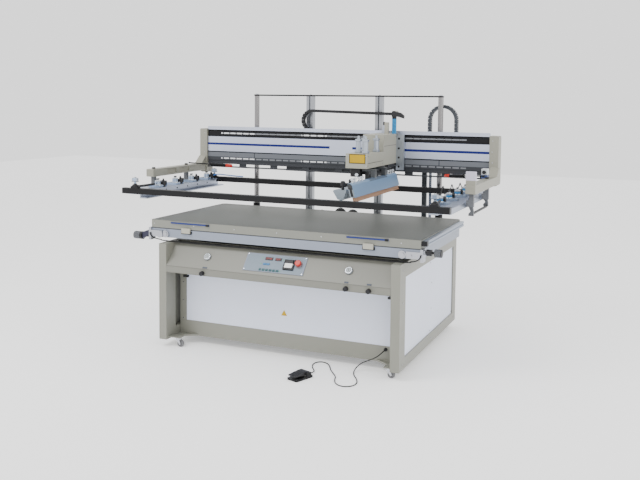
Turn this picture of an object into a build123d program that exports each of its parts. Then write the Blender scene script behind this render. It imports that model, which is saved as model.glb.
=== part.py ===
from build123d import *
from math import atan2, cos, degrees, hypot, pi, radians, sin, tan
import os

os.makedirs("parts", exist_ok=True)

# Driving dimensions in millimetres. X runs along the machine, Y from the operator to the back,
# Z up from the floor. Y is measured here from a line through the middle of the table.

# Cabinet
CABINET_HALF = 879.0
CABINET_FRONT = -602.0
CABINET_BACK = 780.0
CABINET_LIFT = 53.0
CABINET_TOP = 727.0
LEG_FRONT_DEPTH = 115.0
LEG_BACK_DEPTH = 89.0
LEG_WIDTH = 60.0
FRAME_TOP_RAIL = 91.0
FRAME_FOOT_RAIL = 70.0
SIDE_PANEL_INSET = 9.0
SHEET = 3.0
PANEL_SHEET = 16.0
FASCIA_FOOT_Z = 579.0
FASCIA_SETBACK = 118.0
BAND_HEIGHT = 48.0
RECESS_DEPTH = 176.0
STILE_WIDTH = 52.0
SKIRT_TOP = 158.0
GUSSET_REACH = 150.0
GUSSET_THICK = 12.0
SEAT_GAP = 0.3

# Table
TABLE_TOP = 880.0
TABLE_HALF = 987.0
TABLE_FRONT = -532.0
TABLE_BACK = 465.0
TABLE_THICK = 54.0
EDGE_STRIP_WIDTH = 30.0
EDGE_STRIP_DROP = 8.0
EDGE_STRIP_HEIGHT = 36.0
TABLE_CORNER = 34.0
SUBFRAME_HEIGHT = 66.0
SUBFRAME_WALL = 60.0
SUBFRAME_END_INSET = 2.0
SUBFRAME_FRONT_INSET = 2.0
SUBFRAME_BACK_INSET = 32.0
SUBFRAME_CROSS_X = 700.0

# Screen head
BEAM_FACE_Y = 524.0
BEAM_DEPTH = 76.0
BEAM_HALF = 1171.0
BEAM_BOTTOM = 1199.0
BEAM_TOP = 1505.0
BEAM_LIP = 14.0
BEAM_DECK = BEAM_TOP - 26.0
SLOT_Z = (1421.0, 1478.0)
SLOT_DEPTH = 14.0
RAIL_Z = (1430.0, 1469.0)
RAIL_SETBACK = 4.0
GROOVE_Z = (1294.0, 1300.0)
FOOT_BAND_Z = 1228.0
UNDERBAR_DROP = (30.0, 20.0)
SERVICE_BAR = (-457.0, 441.0)
SERVICE_BAR_DROP = 34.0
END_PLATE = 66.0
END_PLATE_BOTTOM = 1126.0
END_PLATE_TOP = 1485.0
ARM_WIDTH = 63.0
ARM_INNER = BEAM_HALF + 10.0
ARM_BOTTOM = 1144.0
ARM_TOP = 1201.0
ARM_FRONT = -230.0
ARM_SPLAY = 60.0
HANGER_Y = (-182.0, 261.0)
HANGER_HALF = 14.0
CHANNEL_SPAN = 181.0
CHANNEL_INNER = ARM_INNER - CHANNEL_SPAN
CHANNEL_OUTER = ARM_INNER - 4.0
CHANNEL_TOP = 1089.0
CHANNEL_SIDE = 36.0
CHANNEL_MOUTH = 60.0
CHANNEL_FOOT = 1027.0
CHANNEL_FRONT = -566.7
CHANNEL_BACK = 486.0
CHANNEL_WALL = 8.0
LIP_FRONT = {"left": CHANNEL_FRONT, "right": -440.0}
LEVER_Y = (-120.0, 316.0)
LEVER_FOOT = 992.0
SCREEN_BEAM_Z = 1060.0
SCREEN_BEAM = 41.0
SCREEN_BEAM_CORNER = 4.0
SCREEN_FRONT_Y = -608.0
SCREEN_BACK_Y = 429.0
SCREEN_FRONT_HALF = CHANNEL_INNER + CHANNEL_SPAN
SCREEN_BACK_HALF = CHANNEL_INNER + 34.0
CLAMP_PITCH = 222.0
CLAMP_COUNT = 4
CLAMP_X = CHANNEL_INNER + 52.0
CLAMP_RADIUS = 20.0
CLAMP_HEIGHT = 42.0
KNOB_POST_X = CHANNEL_INNER + 83.0
REAR_KNOB = (CHANNEL_INNER + 65.0, 450.0)

# Columns
COLUMN_Y = 638.0
OUTER_COLUMN_X = 773.0
OUTER_COLUMN_RADIUS = 20.0
INNER_COLUMN_X = 290.0
INNER_COLUMN_WIDTH = 58.0
INNER_COLUMN_DEPTH = 44.0
COLUMN_TOP = 1757.0
TIE_HEIGHT = 12.0
COLLAR_Z = (851.0, 880.0)
BEARING_HALF = OUTER_COLUMN_RADIUS + 22.0
BEARING_Z = (1235.0, 1335.0)
SHOE_HALF = 38.0
SHOE_Z = (1225.0, 1455.0)

# Print carriage, squeegee and flood bar
CARRIAGE_X = 396.0
CARRIAGE_WIDTH = 157.0
CARRIAGE_FRONT = -120.0
CARRIAGE_FLOOR = 1266.0
CARRIAGE_STEP_Z = 1366.0
CARRIAGE_TOP = 1485.0
CARRIAGE_STEP_Y = 215.0
CARRIAGE_PLATE_WIDTH = 62.0
CARRIAGE_PLATE_FLOOR = 1213.0
CARRIAGE_PLATE_THICK = 18.0
RUNNING_GAP = 6.0
SQUEEGEE_X = 516.0
SQUEEGEE_LEAN = 13.0
SQUEEGEE_HALF = 16.0
SQUEEGEE_FRONT = -520.0
SQUEEGEE_BACK = 375.0
SQUEEGEE_BOTTOM = 1086.0
BLADE_SHOWS = 30.0
BLADE_HALF = 5.0
HOLDER_HEIGHT = 88.0
FLOOD_X = 440.0
FLOOD_TOP = 1160.0
BLADE_STROKE = 40.0
ROD_RADIUS = 6.0
SQUEEGEE_ROD_Y = (-60.0, 155.0)
FLOOD_ROD_Y = (-8.0, 103.0)
MAST_TOP = 1654.0
MAST_SHEET = 6.0
HOSE_X = (453.0, 487.0)
HOSE_Y = 460.0
HOSE_CAP_Z = (1612.0, 1648.0)

# Castors
WHEEL_RADIUS = 24.0
WHEEL_WIDTH = 20.0
CASTOR_TRAIL = 20.0
CASTOR_HEAD = 8.0
CASTOR_HEAD_RADIUS = 20.0
CASTOR_INSET = {"left": 64.0, "right": 24.0}


def block(x, y, z):
    """A box between three pairs of limits."""
    size = Box(x[1] - x[0], y[1] - y[0], z[1] - z[0])
    return Pos((x[0] + x[1]) / 2, (y[0] + y[1]) / 2, (z[0] + z[1]) / 2) * size


def post(x, y, z, radius):
    """A round bar standing between two heights."""
    bar = Cylinder(radius, z[1] - z[0], align=(Align.CENTER, Align.CENTER, Align.MIN))
    return Pos(x, y, z[0]) * bar


def bar_x(x, y, z, radius):
    """A round bar lying along X between two places."""
    bar = Cylinder(radius, x[1] - x[0], align=(Align.CENTER, Align.CENTER, Align.MIN))
    return Pos(x[0], y, z) * Rot(0, 90, 0) * bar


def bar_y(x, y, z, radius):
    """A round bar lying along Y between two places."""
    bar = Cylinder(radius, y[1] - y[0], align=(Align.CENTER, Align.CENTER, Align.MIN))
    return Pos(x, y[0], z) * Rot(-90, 0, 0) * bar


def side_profile(points, x):
    """A closed outline of (y, z) points, carried along X between two places."""
    face = make_face(Polyline([(p[0], p[1]) for p in points], close=True))
    return Pos(x[0], 0, 0) * extrude(Plane.YZ * face, x[1] - x[0])


def plan_profile(points, z):
    """A closed outline of (x, y) points, carried up between two heights."""
    face = make_face(Polyline([(p[0], p[1]) for p in points], close=True))
    return Pos(0, 0, z[0]) * extrude(face, z[1] - z[0])


def front_profile(points, y):
    """A closed outline of (x, z) points, carried back along Y between two places."""
    face = make_face(Polyline([(p[0], p[1]) for p in points], close=True))
    return Pos(0, y[1], 0) * extrude(Plane.XZ * face, y[1] - y[0])


def mirrored(shape):
    """The same piece on the other side of the machine's middle."""
    return mirror(shape, about=Plane.YZ)


def upright_edges(shape):
    return shape.edges().filter_by(Axis.Z)


# Cabinet

FRAME_INNER_FRONT = CABINET_FRONT + LEG_FRONT_DEPTH
FRAME_INNER_BACK = CABINET_BACK - LEG_BACK_DEPTH
FRAME_WINDOW_Z = (CABINET_LIFT + FRAME_FOOT_RAIL, CABINET_TOP - FRAME_TOP_RAIL)
LEG_INNER = CABINET_HALF - LEG_WIDTH
RECESS_Y = CABINET_FRONT + RECESS_DEPTH


def end_frame():
    """Welded end frame: two legs, a top rail and a foot rail, with a rebate for the panel."""
    outer = block((LEG_INNER, CABINET_HALF), (CABINET_FRONT, CABINET_BACK), (CABINET_LIFT, CABINET_TOP))
    window = block((LEG_INNER - 1, CABINET_HALF + 1), (FRAME_INNER_FRONT, FRAME_INNER_BACK), FRAME_WINDOW_Z)
    frame = outer - window
    return fillet(frame.edges().filter_by(Axis.Z).group_by(Axis.Y)[0], 3)


def side_panel():
    """Enamelled panel that closes the end frame, set back from its face."""
    x = (CABINET_HALF - SIDE_PANEL_INSET - PANEL_SHEET, CABINET_HALF - SIDE_PANEL_INSET)
    y = (FRAME_INNER_FRONT + SEAT_GAP, FRAME_INNER_BACK - SEAT_GAP)
    z = (FRAME_WINDOW_Z[0] + SEAT_GAP, FRAME_WINDOW_Z[1] - SEAT_GAP)
    return block(x, y, z)


def front_fascia():
    """Bent sheet: the raked control face, the plain band under it and the returns behind."""
    x = (-LEG_INNER + SEAT_GAP, LEG_INNER - SEAT_GAP)
    top_y = CABINET_FRONT + FASCIA_SETBACK
    top_z = CABINET_TOP - 8
    band_z = FASCIA_FOOT_Z - BAND_HEIGHT
    t = 6.0
    outline = [
        (CABINET_FRONT, band_z),
        (CABINET_FRONT, FASCIA_FOOT_Z),
        (top_y, top_z),
        (top_y + 60, top_z),
        (top_y + 60, top_z - t),
        (top_y + t, top_z - t),
        (CABINET_FRONT + t, FASCIA_FOOT_Z - t / 2),
        (CABINET_FRONT + t, band_z + t),
        (RECESS_Y, band_z + t),
        (RECESS_Y, band_z),
    ]
    return side_profile(outline, x)


def front_surround():
    """Stiles each side of the front panel and the toe panel below, one folded sheet."""
    x = (-LEG_INNER + SEAT_GAP, LEG_INNER - SEAT_GAP)
    y = (RECESS_Y, RECESS_Y + PANEL_SHEET)
    z = (CABINET_LIFT, FASCIA_FOOT_Z - BAND_HEIGHT - SEAT_GAP)
    sheet = block(x, y, z)
    hole_x = (x[0] + STILE_WIDTH, x[1] - STILE_WIDTH)
    opening = block(hole_x, (y[0] - 1, y[1] + 1), (SKIRT_TOP, z[1] + 1))
    return sheet - opening


LATCH_DROP = 56.0


def front_panel():
    """White front panel between the stiles, with a black turn latch at each upper corner."""
    x = (-LEG_INNER + SEAT_GAP + STILE_WIDTH + 1, LEG_INNER - SEAT_GAP - STILE_WIDTH - 1)
    y = (RECESS_Y + 2, RECESS_Y + 2 + PANEL_SHEET)
    panel = block(x, y, (SKIRT_TOP + SEAT_GAP, FASCIA_FOOT_Z - BAND_HEIGHT - SEAT_GAP))
    z = FASCIA_FOOT_Z - BAND_HEIGHT - LATCH_DROP
    latch = bar_y(x[1] - 12, (RECESS_Y - 10, RECESS_Y + 3), z, 9)
    latch += block((x[1] - 21, x[1] + 20), (RECESS_Y - 14, RECESS_Y - 4), (z - 7, z + 7))
    return panel + latch + mirrored(latch)


def foot_gusset():
    """Flat corner plate that ties the front leg to the toe panel."""
    corner = LEG_INNER - SEAT_GAP
    front = CABINET_FRONT + 74
    back = RECESS_Y - SEAT_GAP
    outline = [(corner, front), (corner, back), (corner - GUSSET_REACH, back)]
    return plan_profile(outline, (CABINET_LIFT, CABINET_LIFT + GUSSET_THICK))


def foot_gussets():
    """The two front corner plates and the four castor seats."""
    plates = foot_gusset() + mirrored(foot_gusset())
    for x in (CASTOR_LEFT_X, CASTOR_RIGHT_X):
        for y in (CASTOR_FRONT_Y, CASTOR_BACK_Y):
            plates += castor_seat(x, y)
    return plates


def back_panel():
    """Plain sheet that closes the back between the rear legs."""
    x = (-LEG_INNER + SEAT_GAP, LEG_INNER - SEAT_GAP)
    y = (CABINET_BACK - 12 - PANEL_SHEET, CABINET_BACK - 12)
    return block(x, y, (CABINET_LIFT, CABINET_TOP - SHEET * 2 - SEAT_GAP))


def top_deck():
    """Cabinet deck: two long members under the table and the plate that carries the columns."""
    x = (-LEG_INNER + SEAT_GAP, LEG_INNER - SEAT_GAP)
    front = CABINET_FRONT + FASCIA_SETBACK + 60 + SEAT_GAP
    deck = block(x, (front, CABINET_BACK - 2), (CABINET_TOP - 6, CABINET_TOP))
    ribs = Part()
    for y in (front + 40, COLUMN_Y - 60, COLUMN_Y + 60):
        ribs += block(x, (y - 20, y + 20), (CABINET_TOP - 46, CABINET_TOP - 6))
    return deck + ribs


# Castors: four swivel forks under the cabinet corners

CASTOR_LEFT_X = -LEG_INNER + CASTOR_INSET["left"]
CASTOR_RIGHT_X = LEG_INNER - CASTOR_INSET["right"]
CASTOR_FRONT_Y = CABINET_FRONT + 52.0
CASTOR_BACK_Y = CABINET_BACK - 130.0
CASTOR_SEAT = CABINET_LIFT + GUSSET_THICK
CASTOR_CHEEK = 3.0
AXLE_RADIUS = 4.0


def castor_fork(x, y):
    """Swivel fork: head disc and two cheeks that reach back to the axle."""
    half = WHEEL_WIDTH / 2 + 3
    top = CASTOR_SEAT - SEAT_GAP
    fork = post(x, y, (top - CASTOR_HEAD, top), CASTOR_HEAD_RADIUS)
    outline = [
        (x - 12, top - CASTOR_HEAD),
        (x + 14, top - CASTOR_HEAD),
        (x + CASTOR_TRAIL + 8, WHEEL_RADIUS),
        (x + CASTOR_TRAIL, WHEEL_RADIUS - 8),
        (x + CASTOR_TRAIL - 8, WHEEL_RADIUS),
    ]
    for low in (y - half - CASTOR_CHEEK, y + half):
        fork += front_profile(outline, (low, low + CASTOR_CHEEK))
    reach = half + CASTOR_CHEEK + 2
    return fork + bar_y(x + CASTOR_TRAIL, (y - reach, y + reach), WHEEL_RADIUS, AXLE_RADIUS)


def castor_wheel(x, y):
    """Grey wheel, free on its axle."""
    half = WHEEL_WIDTH / 2
    wheel = bar_y(x + CASTOR_TRAIL, (y - half, y + half), WHEEL_RADIUS, WHEEL_RADIUS)
    wheel = fillet(wheel.edges().filter_by(GeomType.CIRCLE), 3)
    for side in (-1, 1):
        dish = bar_y(x + CASTOR_TRAIL, (y + side * half - 3, y + side * half + 3), WHEEL_RADIUS, WHEEL_RADIUS - 7)
        hub = bar_y(x + CASTOR_TRAIL, (y + side * half - 4, y + side * half + 4), WHEEL_RADIUS, AXLE_RADIUS + 4)
        wheel -= dish - hub
    return wheel - bar_y(x + CASTOR_TRAIL, (y - half - 1, y + half + 1), WHEEL_RADIUS, AXLE_RADIUS + SEAT_GAP)


def castor_seat(x, y):
    """Plate welded to the leg that a castor is screwed to."""
    side = 1 if x > 0 else -1
    limits = sorted((x - side * 26, side * (LEG_INNER - SEAT_GAP)))
    return block(limits, (y - 26, y + 40), (CASTOR_SEAT, CASTOR_SEAT + 6))


# Front controls on the raked face

RAKE = atan2(CABINET_TOP - 8 - FASCIA_FOOT_Z, FASCIA_SETBACK)
RAKE_LENGTH = hypot(CABINET_TOP - 8 - FASCIA_FOOT_Z, FASCIA_SETBACK)


def on_rake(x, along, lift):
    """Placement on the raked face: along is measured up the slope, lift out of the face."""
    y = CABINET_FRONT + along * cos(RAKE) - lift * sin(RAKE)
    z = FASCIA_FOOT_Z + along * sin(RAKE) + lift * cos(RAKE)
    return Pos(x, y, z) * Rot(degrees(RAKE), 0, 0)


PANEL_CENTRE_X = -5.0
PANEL_SIZE = (440.0, 132.0, 4.0)
PANEL_ALONG = 90.0
GAUGE_X = 520.0
GAUGE_ALONG = 92.0
GAUGE_RADIUS = 24.0
KNOB_Z = FASCIA_FOOT_Z - 30.0
KNOB_X = (-525.0, 524.0, 677.0)
ESTOP_X = 167.0
ESTOP_ALONG = 100.0
ROCKER_X = 100.0
ROCKER_ALONG = 92.0
ROCKER_FRAME = (74.0, 78.0, 10.0)
ROCKER_PIN = 2.0
KEY_FIRST_X = -98.0
KEY_PITCH = 25.6
KEY_ALONG = 38.0
TEACH_KEYS_X = (-78.0, -52.0)
TEACH_ALONG = 82.0
DISPLAYS_X = ((-84.0, -29.0), (-11.0, 35.0))
DISPLAY_ALONG = 123.0
STEM_RADIUS = 8.0


def control_panel():
    """Control plate with the key bosses, the switch frame and the stop button's collar."""
    w, d, t = PANEL_SIZE
    plate = on_rake(PANEL_CENTRE_X, PANEL_ALONG, t / 2 + SEAT_GAP) * Box(w, d, t)
    face = t + SEAT_GAP
    keys = Part()
    for column in range(6):
        keys += on_rake(KEY_FIRST_X + column * KEY_PITCH, KEY_ALONG, face + 1.5) * Box(16, 10, 5)
    for x in TEACH_KEYS_X:
        keys += on_rake(x, TEACH_ALONG, face + 1.5) * Box(20, 14, 5)
    display = Part()
    for low, high in DISPLAYS_X:
        display += on_rake((low + high) / 2, DISPLAY_ALONG, face + 1) * Box(high - low, 22, 4)
    frame = Box(*ROCKER_FRAME) - Box(ROCKER_FRAME[0] - 10, ROCKER_FRAME[1] - 12, ROCKER_FRAME[2] + 1)
    frame -= bar_x((-ROCKER_FRAME[0], ROCKER_FRAME[0]), 0, 0, ROCKER_PIN + SEAT_GAP)
    frame = on_rake(ROCKER_X, ROCKER_ALONG, face + ROCKER_FRAME[2] / 2) * frame
    collar = on_rake(ESTOP_X, ESTOP_ALONG, face + 4) * (Cylinder(24, 8) - Cylinder(STEM_RADIUS + SEAT_GAP, 10))
    return plate + keys + display + frame + collar


def rocker_switch():
    """White rocker on its cross pin in the frame."""
    middle = PANEL_SIZE[2] + SEAT_GAP + ROCKER_FRAME[2] / 2
    outline = [(-27, 2), (0, -3), (27, 2), (27, 11), (0, 6), (-27, 8)]
    rocker = side_profile(outline, (-27, 27))
    rocker += bar_x((-ROCKER_FRAME[0] / 2 + 1, ROCKER_FRAME[0] / 2 - 1), 0, 0, ROCKER_PIN)
    return on_rake(ROCKER_X, ROCKER_ALONG, middle) * rocker


def emergency_stop():
    """Mushroom head on its stem, with room under it to be pressed in."""
    face = PANEL_SIZE[2] + SEAT_GAP
    stem = Cylinder(STEM_RADIUS, 20, align=(Align.CENTER, Align.CENTER, Align.MIN))
    head = Pos(0, 0, 10) * Cylinder(21, 14, align=(Align.CENTER, Align.CENTER, Align.MIN))
    head = fillet(head.edges().group_by(Axis.Z)[-1], 5)
    return on_rake(ESTOP_X, ESTOP_ALONG, face + 4) * (stem + head)


def pressure_gauge(x):
    """Gauge with a bezel ring and a recessed dial."""
    case = Cylinder(GAUGE_RADIUS, 14, align=(Align.CENTER, Align.CENTER, Align.MIN))
    case = fillet(case.edges().group_by(Axis.Z)[-1], 3)
    dial = Pos(0, 0, 11) * Cylinder(GAUGE_RADIUS - 4, 4, align=(Align.CENTER, Align.CENTER, Align.MIN))
    return on_rake(x, GAUGE_ALONG, SEAT_GAP) * (case - dial)


def regulator_knob(x):
    """Ribbed black knob that turns on the band."""
    knob = Cylinder(15, 26, align=(Align.CENTER, Align.CENTER, Align.MIN))
    knob = fillet(knob.edges().group_by(Axis.Z)[-1], 3)
    return Pos(x, CABINET_FRONT - SEAT_GAP, KNOB_Z) * Rot(90, 0, 0) * knob


# Table

TABLE_UNDER = TABLE_TOP - TABLE_THICK
SUBFRAME_TOP = TABLE_UNDER - SEAT_GAP
SUBFRAME_BOTTOM = SUBFRAME_TOP - SUBFRAME_HEIGHT


def table_top():
    """Thick flat suction table with rounded corners."""
    x = (-TABLE_HALF, TABLE_HALF)
    y = (TABLE_FRONT, TABLE_BACK)
    slab = block(x, y, (TABLE_UNDER, TABLE_TOP))
    back = upright_edges(slab).group_by(Axis.Y)[-1]
    front = upright_edges(slab).group_by(Axis.Y)[0]
    slab = fillet(back, TABLE_CORNER)
    return fillet(upright_edges(slab).group_by(Axis.Y)[0], 5)


def table_edge():
    """Aluminium strip along the table's side, with a groove, and the black end block."""
    top = TABLE_TOP - EDGE_STRIP_DROP
    x = (TABLE_HALF, TABLE_HALF + EDGE_STRIP_WIDTH)
    strip = block(x, (TABLE_FRONT + 42, TABLE_BACK - TABLE_CORNER), (top - EDGE_STRIP_HEIGHT, top))
    groove = block((x[1] - 4, x[1] + 1), (TABLE_FRONT, TABLE_BACK), (top - 22, top - 14))
    block_end = block((x[0], x[1] + 8), (TABLE_FRONT + 2, TABLE_FRONT + 42), (top - 28, top))
    return strip - groove + block_end


LAY_BARS = ((-822.0, -528.0), (496.0, 765.0))
PINCH_X = (-697.0, 645.0)


def register_strip(x):
    """Thin blue lay bar on the table's front edge, with its black end block."""
    y = TABLE_FRONT
    bar = block(x, (y - 7, y), (TABLE_TOP - 19, TABLE_TOP - 10))
    return bar + block((x[1] - 10, x[1] + 12), (y - 11, y), (TABLE_TOP - 22, TABLE_TOP - 8))


def pinch_block(x):
    """Clamp on the front rail under a lay bar: a black carrier and the block it holds."""
    y = TABLE_FRONT + SUBFRAME_FRONT_INSET
    carrier = block((x - 41, x + 41), (y - 8, y), (SUBFRAME_TOP - 32, SUBFRAME_TOP - 12))
    return carrier + block((x - 34, x + 34), (y - 16, y - 4), (SUBFRAME_TOP - 26, SUBFRAME_TOP + 9))


def subframe():
    """Enamelled frame under the table: a ring as wide as the table, two cross members and four pads."""
    x = TABLE_HALF - SUBFRAME_END_INSET
    y = (TABLE_FRONT + SUBFRAME_FRONT_INSET, TABLE_BACK - SUBFRAME_BACK_INSET)
    z = (SUBFRAME_BOTTOM, SUBFRAME_TOP)
    ring = block((-x, x), y, z)
    ring -= block((-x + SUBFRAME_WALL, x - SUBFRAME_WALL), (y[0] + SUBFRAME_WALL, y[1] - SUBFRAME_WALL), (z[0] - 1, z[1] + 1))
    for cx in (-SUBFRAME_CROSS_X, SUBFRAME_CROSS_X):
        ring += block((cx - 30, cx + 30), (y[0] + 10, y[1] - 10), z)
        for py in (y[0] + 190, y[1] - 160):
            ring += block((cx - 30, cx + 30), (py - 40, py + 40), (CABINET_TOP, z[0]))
    return ring


# Columns

COLUMN_FOOT = CABINET_TOP


def outer_column(x):
    """Ground guide post with a foot flange and a black stop collar."""
    column = post(x, COLUMN_Y, (COLUMN_FOOT, COLUMN_TOP), OUTER_COLUMN_RADIUS)
    column += post(x, COLUMN_Y, (COLUMN_FOOT, COLUMN_FOOT + 24), OUTER_COLUMN_RADIUS + 16)
    return column + post(x, COLUMN_Y, COLLAR_Z, OUTER_COLUMN_RADIUS + 9)


def inner_column(x):
    """Square aluminium guide profile with a slot down its front and back."""
    w = INNER_COLUMN_WIDTH / 2
    d = INNER_COLUMN_DEPTH / 2
    body = block((x - w, x + w), (COLUMN_Y - d, COLUMN_Y + d), (COLUMN_FOOT, COLUMN_TOP))
    for side in (-1, 1):
        y = COLUMN_Y + side * d
        body -= block((x - 5, x + 5), (y - 8, y + 8), (COLUMN_FOOT + 30, COLUMN_TOP + 1))
    return body


def tie_bar(x):
    """Flat bar across two column tops."""
    return block(x, (COLUMN_Y - 14, COLUMN_Y + 14), (COLUMN_TOP, COLUMN_TOP + TIE_HEIGHT))


# Screen head

HEAD_BACK = BEAM_FACE_Y + BEAM_DEPTH


def main_beam():
    """Wide aluminium extrusion with its guide slots, and the bars hung below it."""
    y0 = BEAM_FACE_Y
    y1 = HEAD_BACK
    outline = [
        (y0, BEAM_BOTTOM), (y1, BEAM_BOTTOM), (y1, BEAM_DECK), (y0 + BEAM_LIP, BEAM_DECK),
        (y0 + BEAM_LIP, BEAM_TOP), (y0, BEAM_TOP),
        (y0, SLOT_Z[1]), (y0 + SLOT_DEPTH, SLOT_Z[1]), (y0 + SLOT_DEPTH, SLOT_Z[0]), (y0, SLOT_Z[0]),
        (y0, GROOVE_Z[1]), (y0 + 5, GROOVE_Z[1]), (y0 + 5, GROOVE_Z[0]), (y0 + 2, GROOVE_Z[0]),
        (y0 + 2, FOOT_BAND_Z), (y0 + 8, FOOT_BAND_Z), (y0 + 8, BEAM_BOTTOM + 4), (y0, BEAM_BOTTOM + 4),
    ]
    beam = side_profile(outline, (-BEAM_HALF, BEAM_HALF))
    low, high = (BEAM_BOTTOM - drop for drop in UNDERBAR_DROP)
    beam += block((-BEAM_HALF, BEAM_HALF), (y0 + 4, y0 + 20), (low, high))
    for index in range(9):
        x = -BEAM_HALF + 40 + index * (2 * BEAM_HALF - 80) / 8
        beam += block((x - 30, x + 30), (y0 + 6, y0 + 18), (high, BEAM_BOTTOM))
    return beam + block(SERVICE_BAR, (y0 + 18, y0 + 58), (BEAM_BOTTOM - SERVICE_BAR_DROP, BEAM_BOTTOM))


def beam_rail():
    """Hardened guide rail in the upper slot, drilled at its screw pitch."""
    y0 = BEAM_FACE_Y
    return block((-BEAM_HALF + 4, BEAM_HALF - 4), (y0 + RAIL_SETBACK, y0 + SLOT_DEPTH - SEAT_GAP), RAIL_Z)


def lift_bearings():
    """Housings on the beam's back: bushes on the round posts, shoes against the square columns."""
    parts = Part()
    for side in (-1, 1):
        x = side * OUTER_COLUMN_X
        bush = block((x - BEARING_HALF, x + BEARING_HALF), (HEAD_BACK, COLUMN_Y + BEARING_HALF - 10), BEARING_Z)
        parts += bush - post(x, COLUMN_Y, (BEARING_Z[0] - 1, BEARING_Z[1] + 1), OUTER_COLUMN_RADIUS + SEAT_GAP)
        x = side * INNER_COLUMN_X
        shoe_y = (HEAD_BACK, COLUMN_Y - INNER_COLUMN_DEPTH / 2 - SEAT_GAP)
        parts += block((x - SHOE_HALF, x + SHOE_HALF), shoe_y, SHOE_Z)
    return parts


POCKETS = ((-46.0, 74.0), (113.0, 254.0))
POCKET_DEPTH = 6.0
POCKET_RIM = 11.0


def end_bracket():
    """End plate of the beam with the arm that reaches forward over the screen clamps."""
    x = (BEAM_HALF, BEAM_HALF + END_PLATE)
    plate = block(x, (BEAM_FACE_Y - 14, HEAD_BACK), (END_PLATE_BOTTOM, END_PLATE_TOP))
    outer = plate.edges().filter_by(Axis.Y).group_by(Axis.X)[-1]
    plate = fillet(outer.sort_by(Axis.Z)[-1], 10)
    outer = plate.edges().filter_by(Axis.Y).group_by(Axis.X)[-1]
    plate = fillet(outer.sort_by(Axis.Z)[0], 22)
    x = (ARM_INNER, ARM_INNER + ARM_WIDTH)
    back = BEAM_FACE_Y - 14
    outline = [
        (ARM_FRONT, ARM_BOTTOM), (back - 160, ARM_BOTTOM), (back - 60, END_PLATE_BOTTOM + 14),
        (back, END_PLATE_BOTTOM + 14), (back, ARM_TOP + ARM_SPLAY), (back - 70, ARM_TOP), (ARM_FRONT, ARM_TOP),
    ]
    arm = side_profile(outline, x)
    arm = fillet(arm.edges().filter_by(Axis.X).group_by(Axis.Y)[0], 6)
    for low, high in POCKETS:
        pocket_z = (ARM_BOTTOM + POCKET_RIM, ARM_TOP - POCKET_RIM)
        arm -= block((x[0] - 1, x[0] + POCKET_DEPTH), (low, high), pocket_z)
    for y in HANGER_Y:
        arm += post(ARM_INNER + ARM_WIDTH / 2, y, (ARM_TOP - 1, ARM_TOP + 12), 13)
    return plate + arm


def valve_fittings():
    """On the right arm only: the post at its front end and the valve with its round knob."""
    x = (ARM_INNER, ARM_INNER + ARM_WIDTH)
    riser = block(x, (ARM_FRONT + 4, ARM_FRONT + 34), (ARM_TOP, ARM_TOP + 86))
    valve_y = (270.0, 330.0)
    valve = block((ARM_INNER - 11, ARM_INNER + 29), valve_y, (ARM_TOP, ARM_TOP + 66))
    valve += bar_y(ARM_INNER + 9, (valve_y[0] - 14, valve_y[0]), ARM_TOP + 44, 13)
    return riser + valve


def hanger(y):
    """Folded bracket that hangs the channel from the arm."""
    middle = ARM_INNER + ARM_WIDTH / 2
    outline = [
        (CHANNEL_OUTER - 16, CHANNEL_TOP), (CHANNEL_OUTER - 16, CHANNEL_TOP + 10), (middle - 14, CHANNEL_TOP + 10),
        (middle - 14, ARM_BOTTOM), (middle + 14, ARM_BOTTOM), (middle + 14, CHANNEL_TOP - CHANNEL_SIDE + 6),
        (CHANNEL_OUTER, CHANNEL_TOP - CHANNEL_SIDE + 6), (CHANNEL_OUTER, CHANNEL_TOP),
    ]
    return front_profile(outline, (y - HANGER_HALF, y + HANGER_HALF))


def clamp_channel(lip_front):
    """Aluminium section, open inward to take the screen's frame, with its hangers and levers."""
    inner = CHANNEL_INNER
    outer = CHANNEL_OUTER
    web = CHANNEL_INNER + CHANNEL_MOUTH
    t = CHANNEL_WALL
    outline = [
        (inner, CHANNEL_TOP), (outer, CHANNEL_TOP), (outer, CHANNEL_TOP - CHANNEL_SIDE), (web, CHANNEL_TOP - CHANNEL_SIDE),
        (web, CHANNEL_FOOT), (inner, CHANNEL_FOOT), (inner, CHANNEL_FOOT + t), (web - t, CHANNEL_FOOT + t),
        (web - t, CHANNEL_TOP - t), (inner, CHANNEL_TOP - t),
    ]
    channel = front_profile(outline, (CHANNEL_FRONT, CHANNEL_BACK))
    if lip_front > CHANNEL_FRONT:
        foot_z = (CHANNEL_FOOT - 1, CHANNEL_TOP - CHANNEL_SIDE)
        channel -= block((inner - 1, web), (CHANNEL_FRONT - 1, lip_front), foot_z)
    notch_y = (SCREEN_BACK_Y - SEAT_GAP, SCREEN_BACK_Y + SCREEN_BEAM + SEAT_GAP)
    notch_z = (SCREEN_BEAM_Z - SEAT_GAP, CHANNEL_TOP + 1)
    channel -= block((inner - 1, SCREEN_BACK_HALF + SEAT_GAP), notch_y, notch_z)
    for y in HANGER_Y:
        channel += hanger(y)
    for y in LEVER_Y:
        foot = LEVER_FOOT if y < 0 else LEVER_FOOT + 14
        lever = [
            (outer - 1, CHANNEL_TOP + 20), (outer + 22, CHANNEL_TOP + 20), (outer + 36, foot + 22), (outer + 36, foot),
            (outer + 2, foot), (outer + 2, foot + 14), (outer + 16, foot + 30), (outer - 1, CHANNEL_TOP - 30),
        ]
        channel += front_profile(lever, (y - 9, y + 9))
    rod = bar_y(outer + 26, (LEVER_Y[0] + 4, LEVER_Y[1] - 4), LEVER_FOOT + 14, 5)
    return channel + rod


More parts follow.
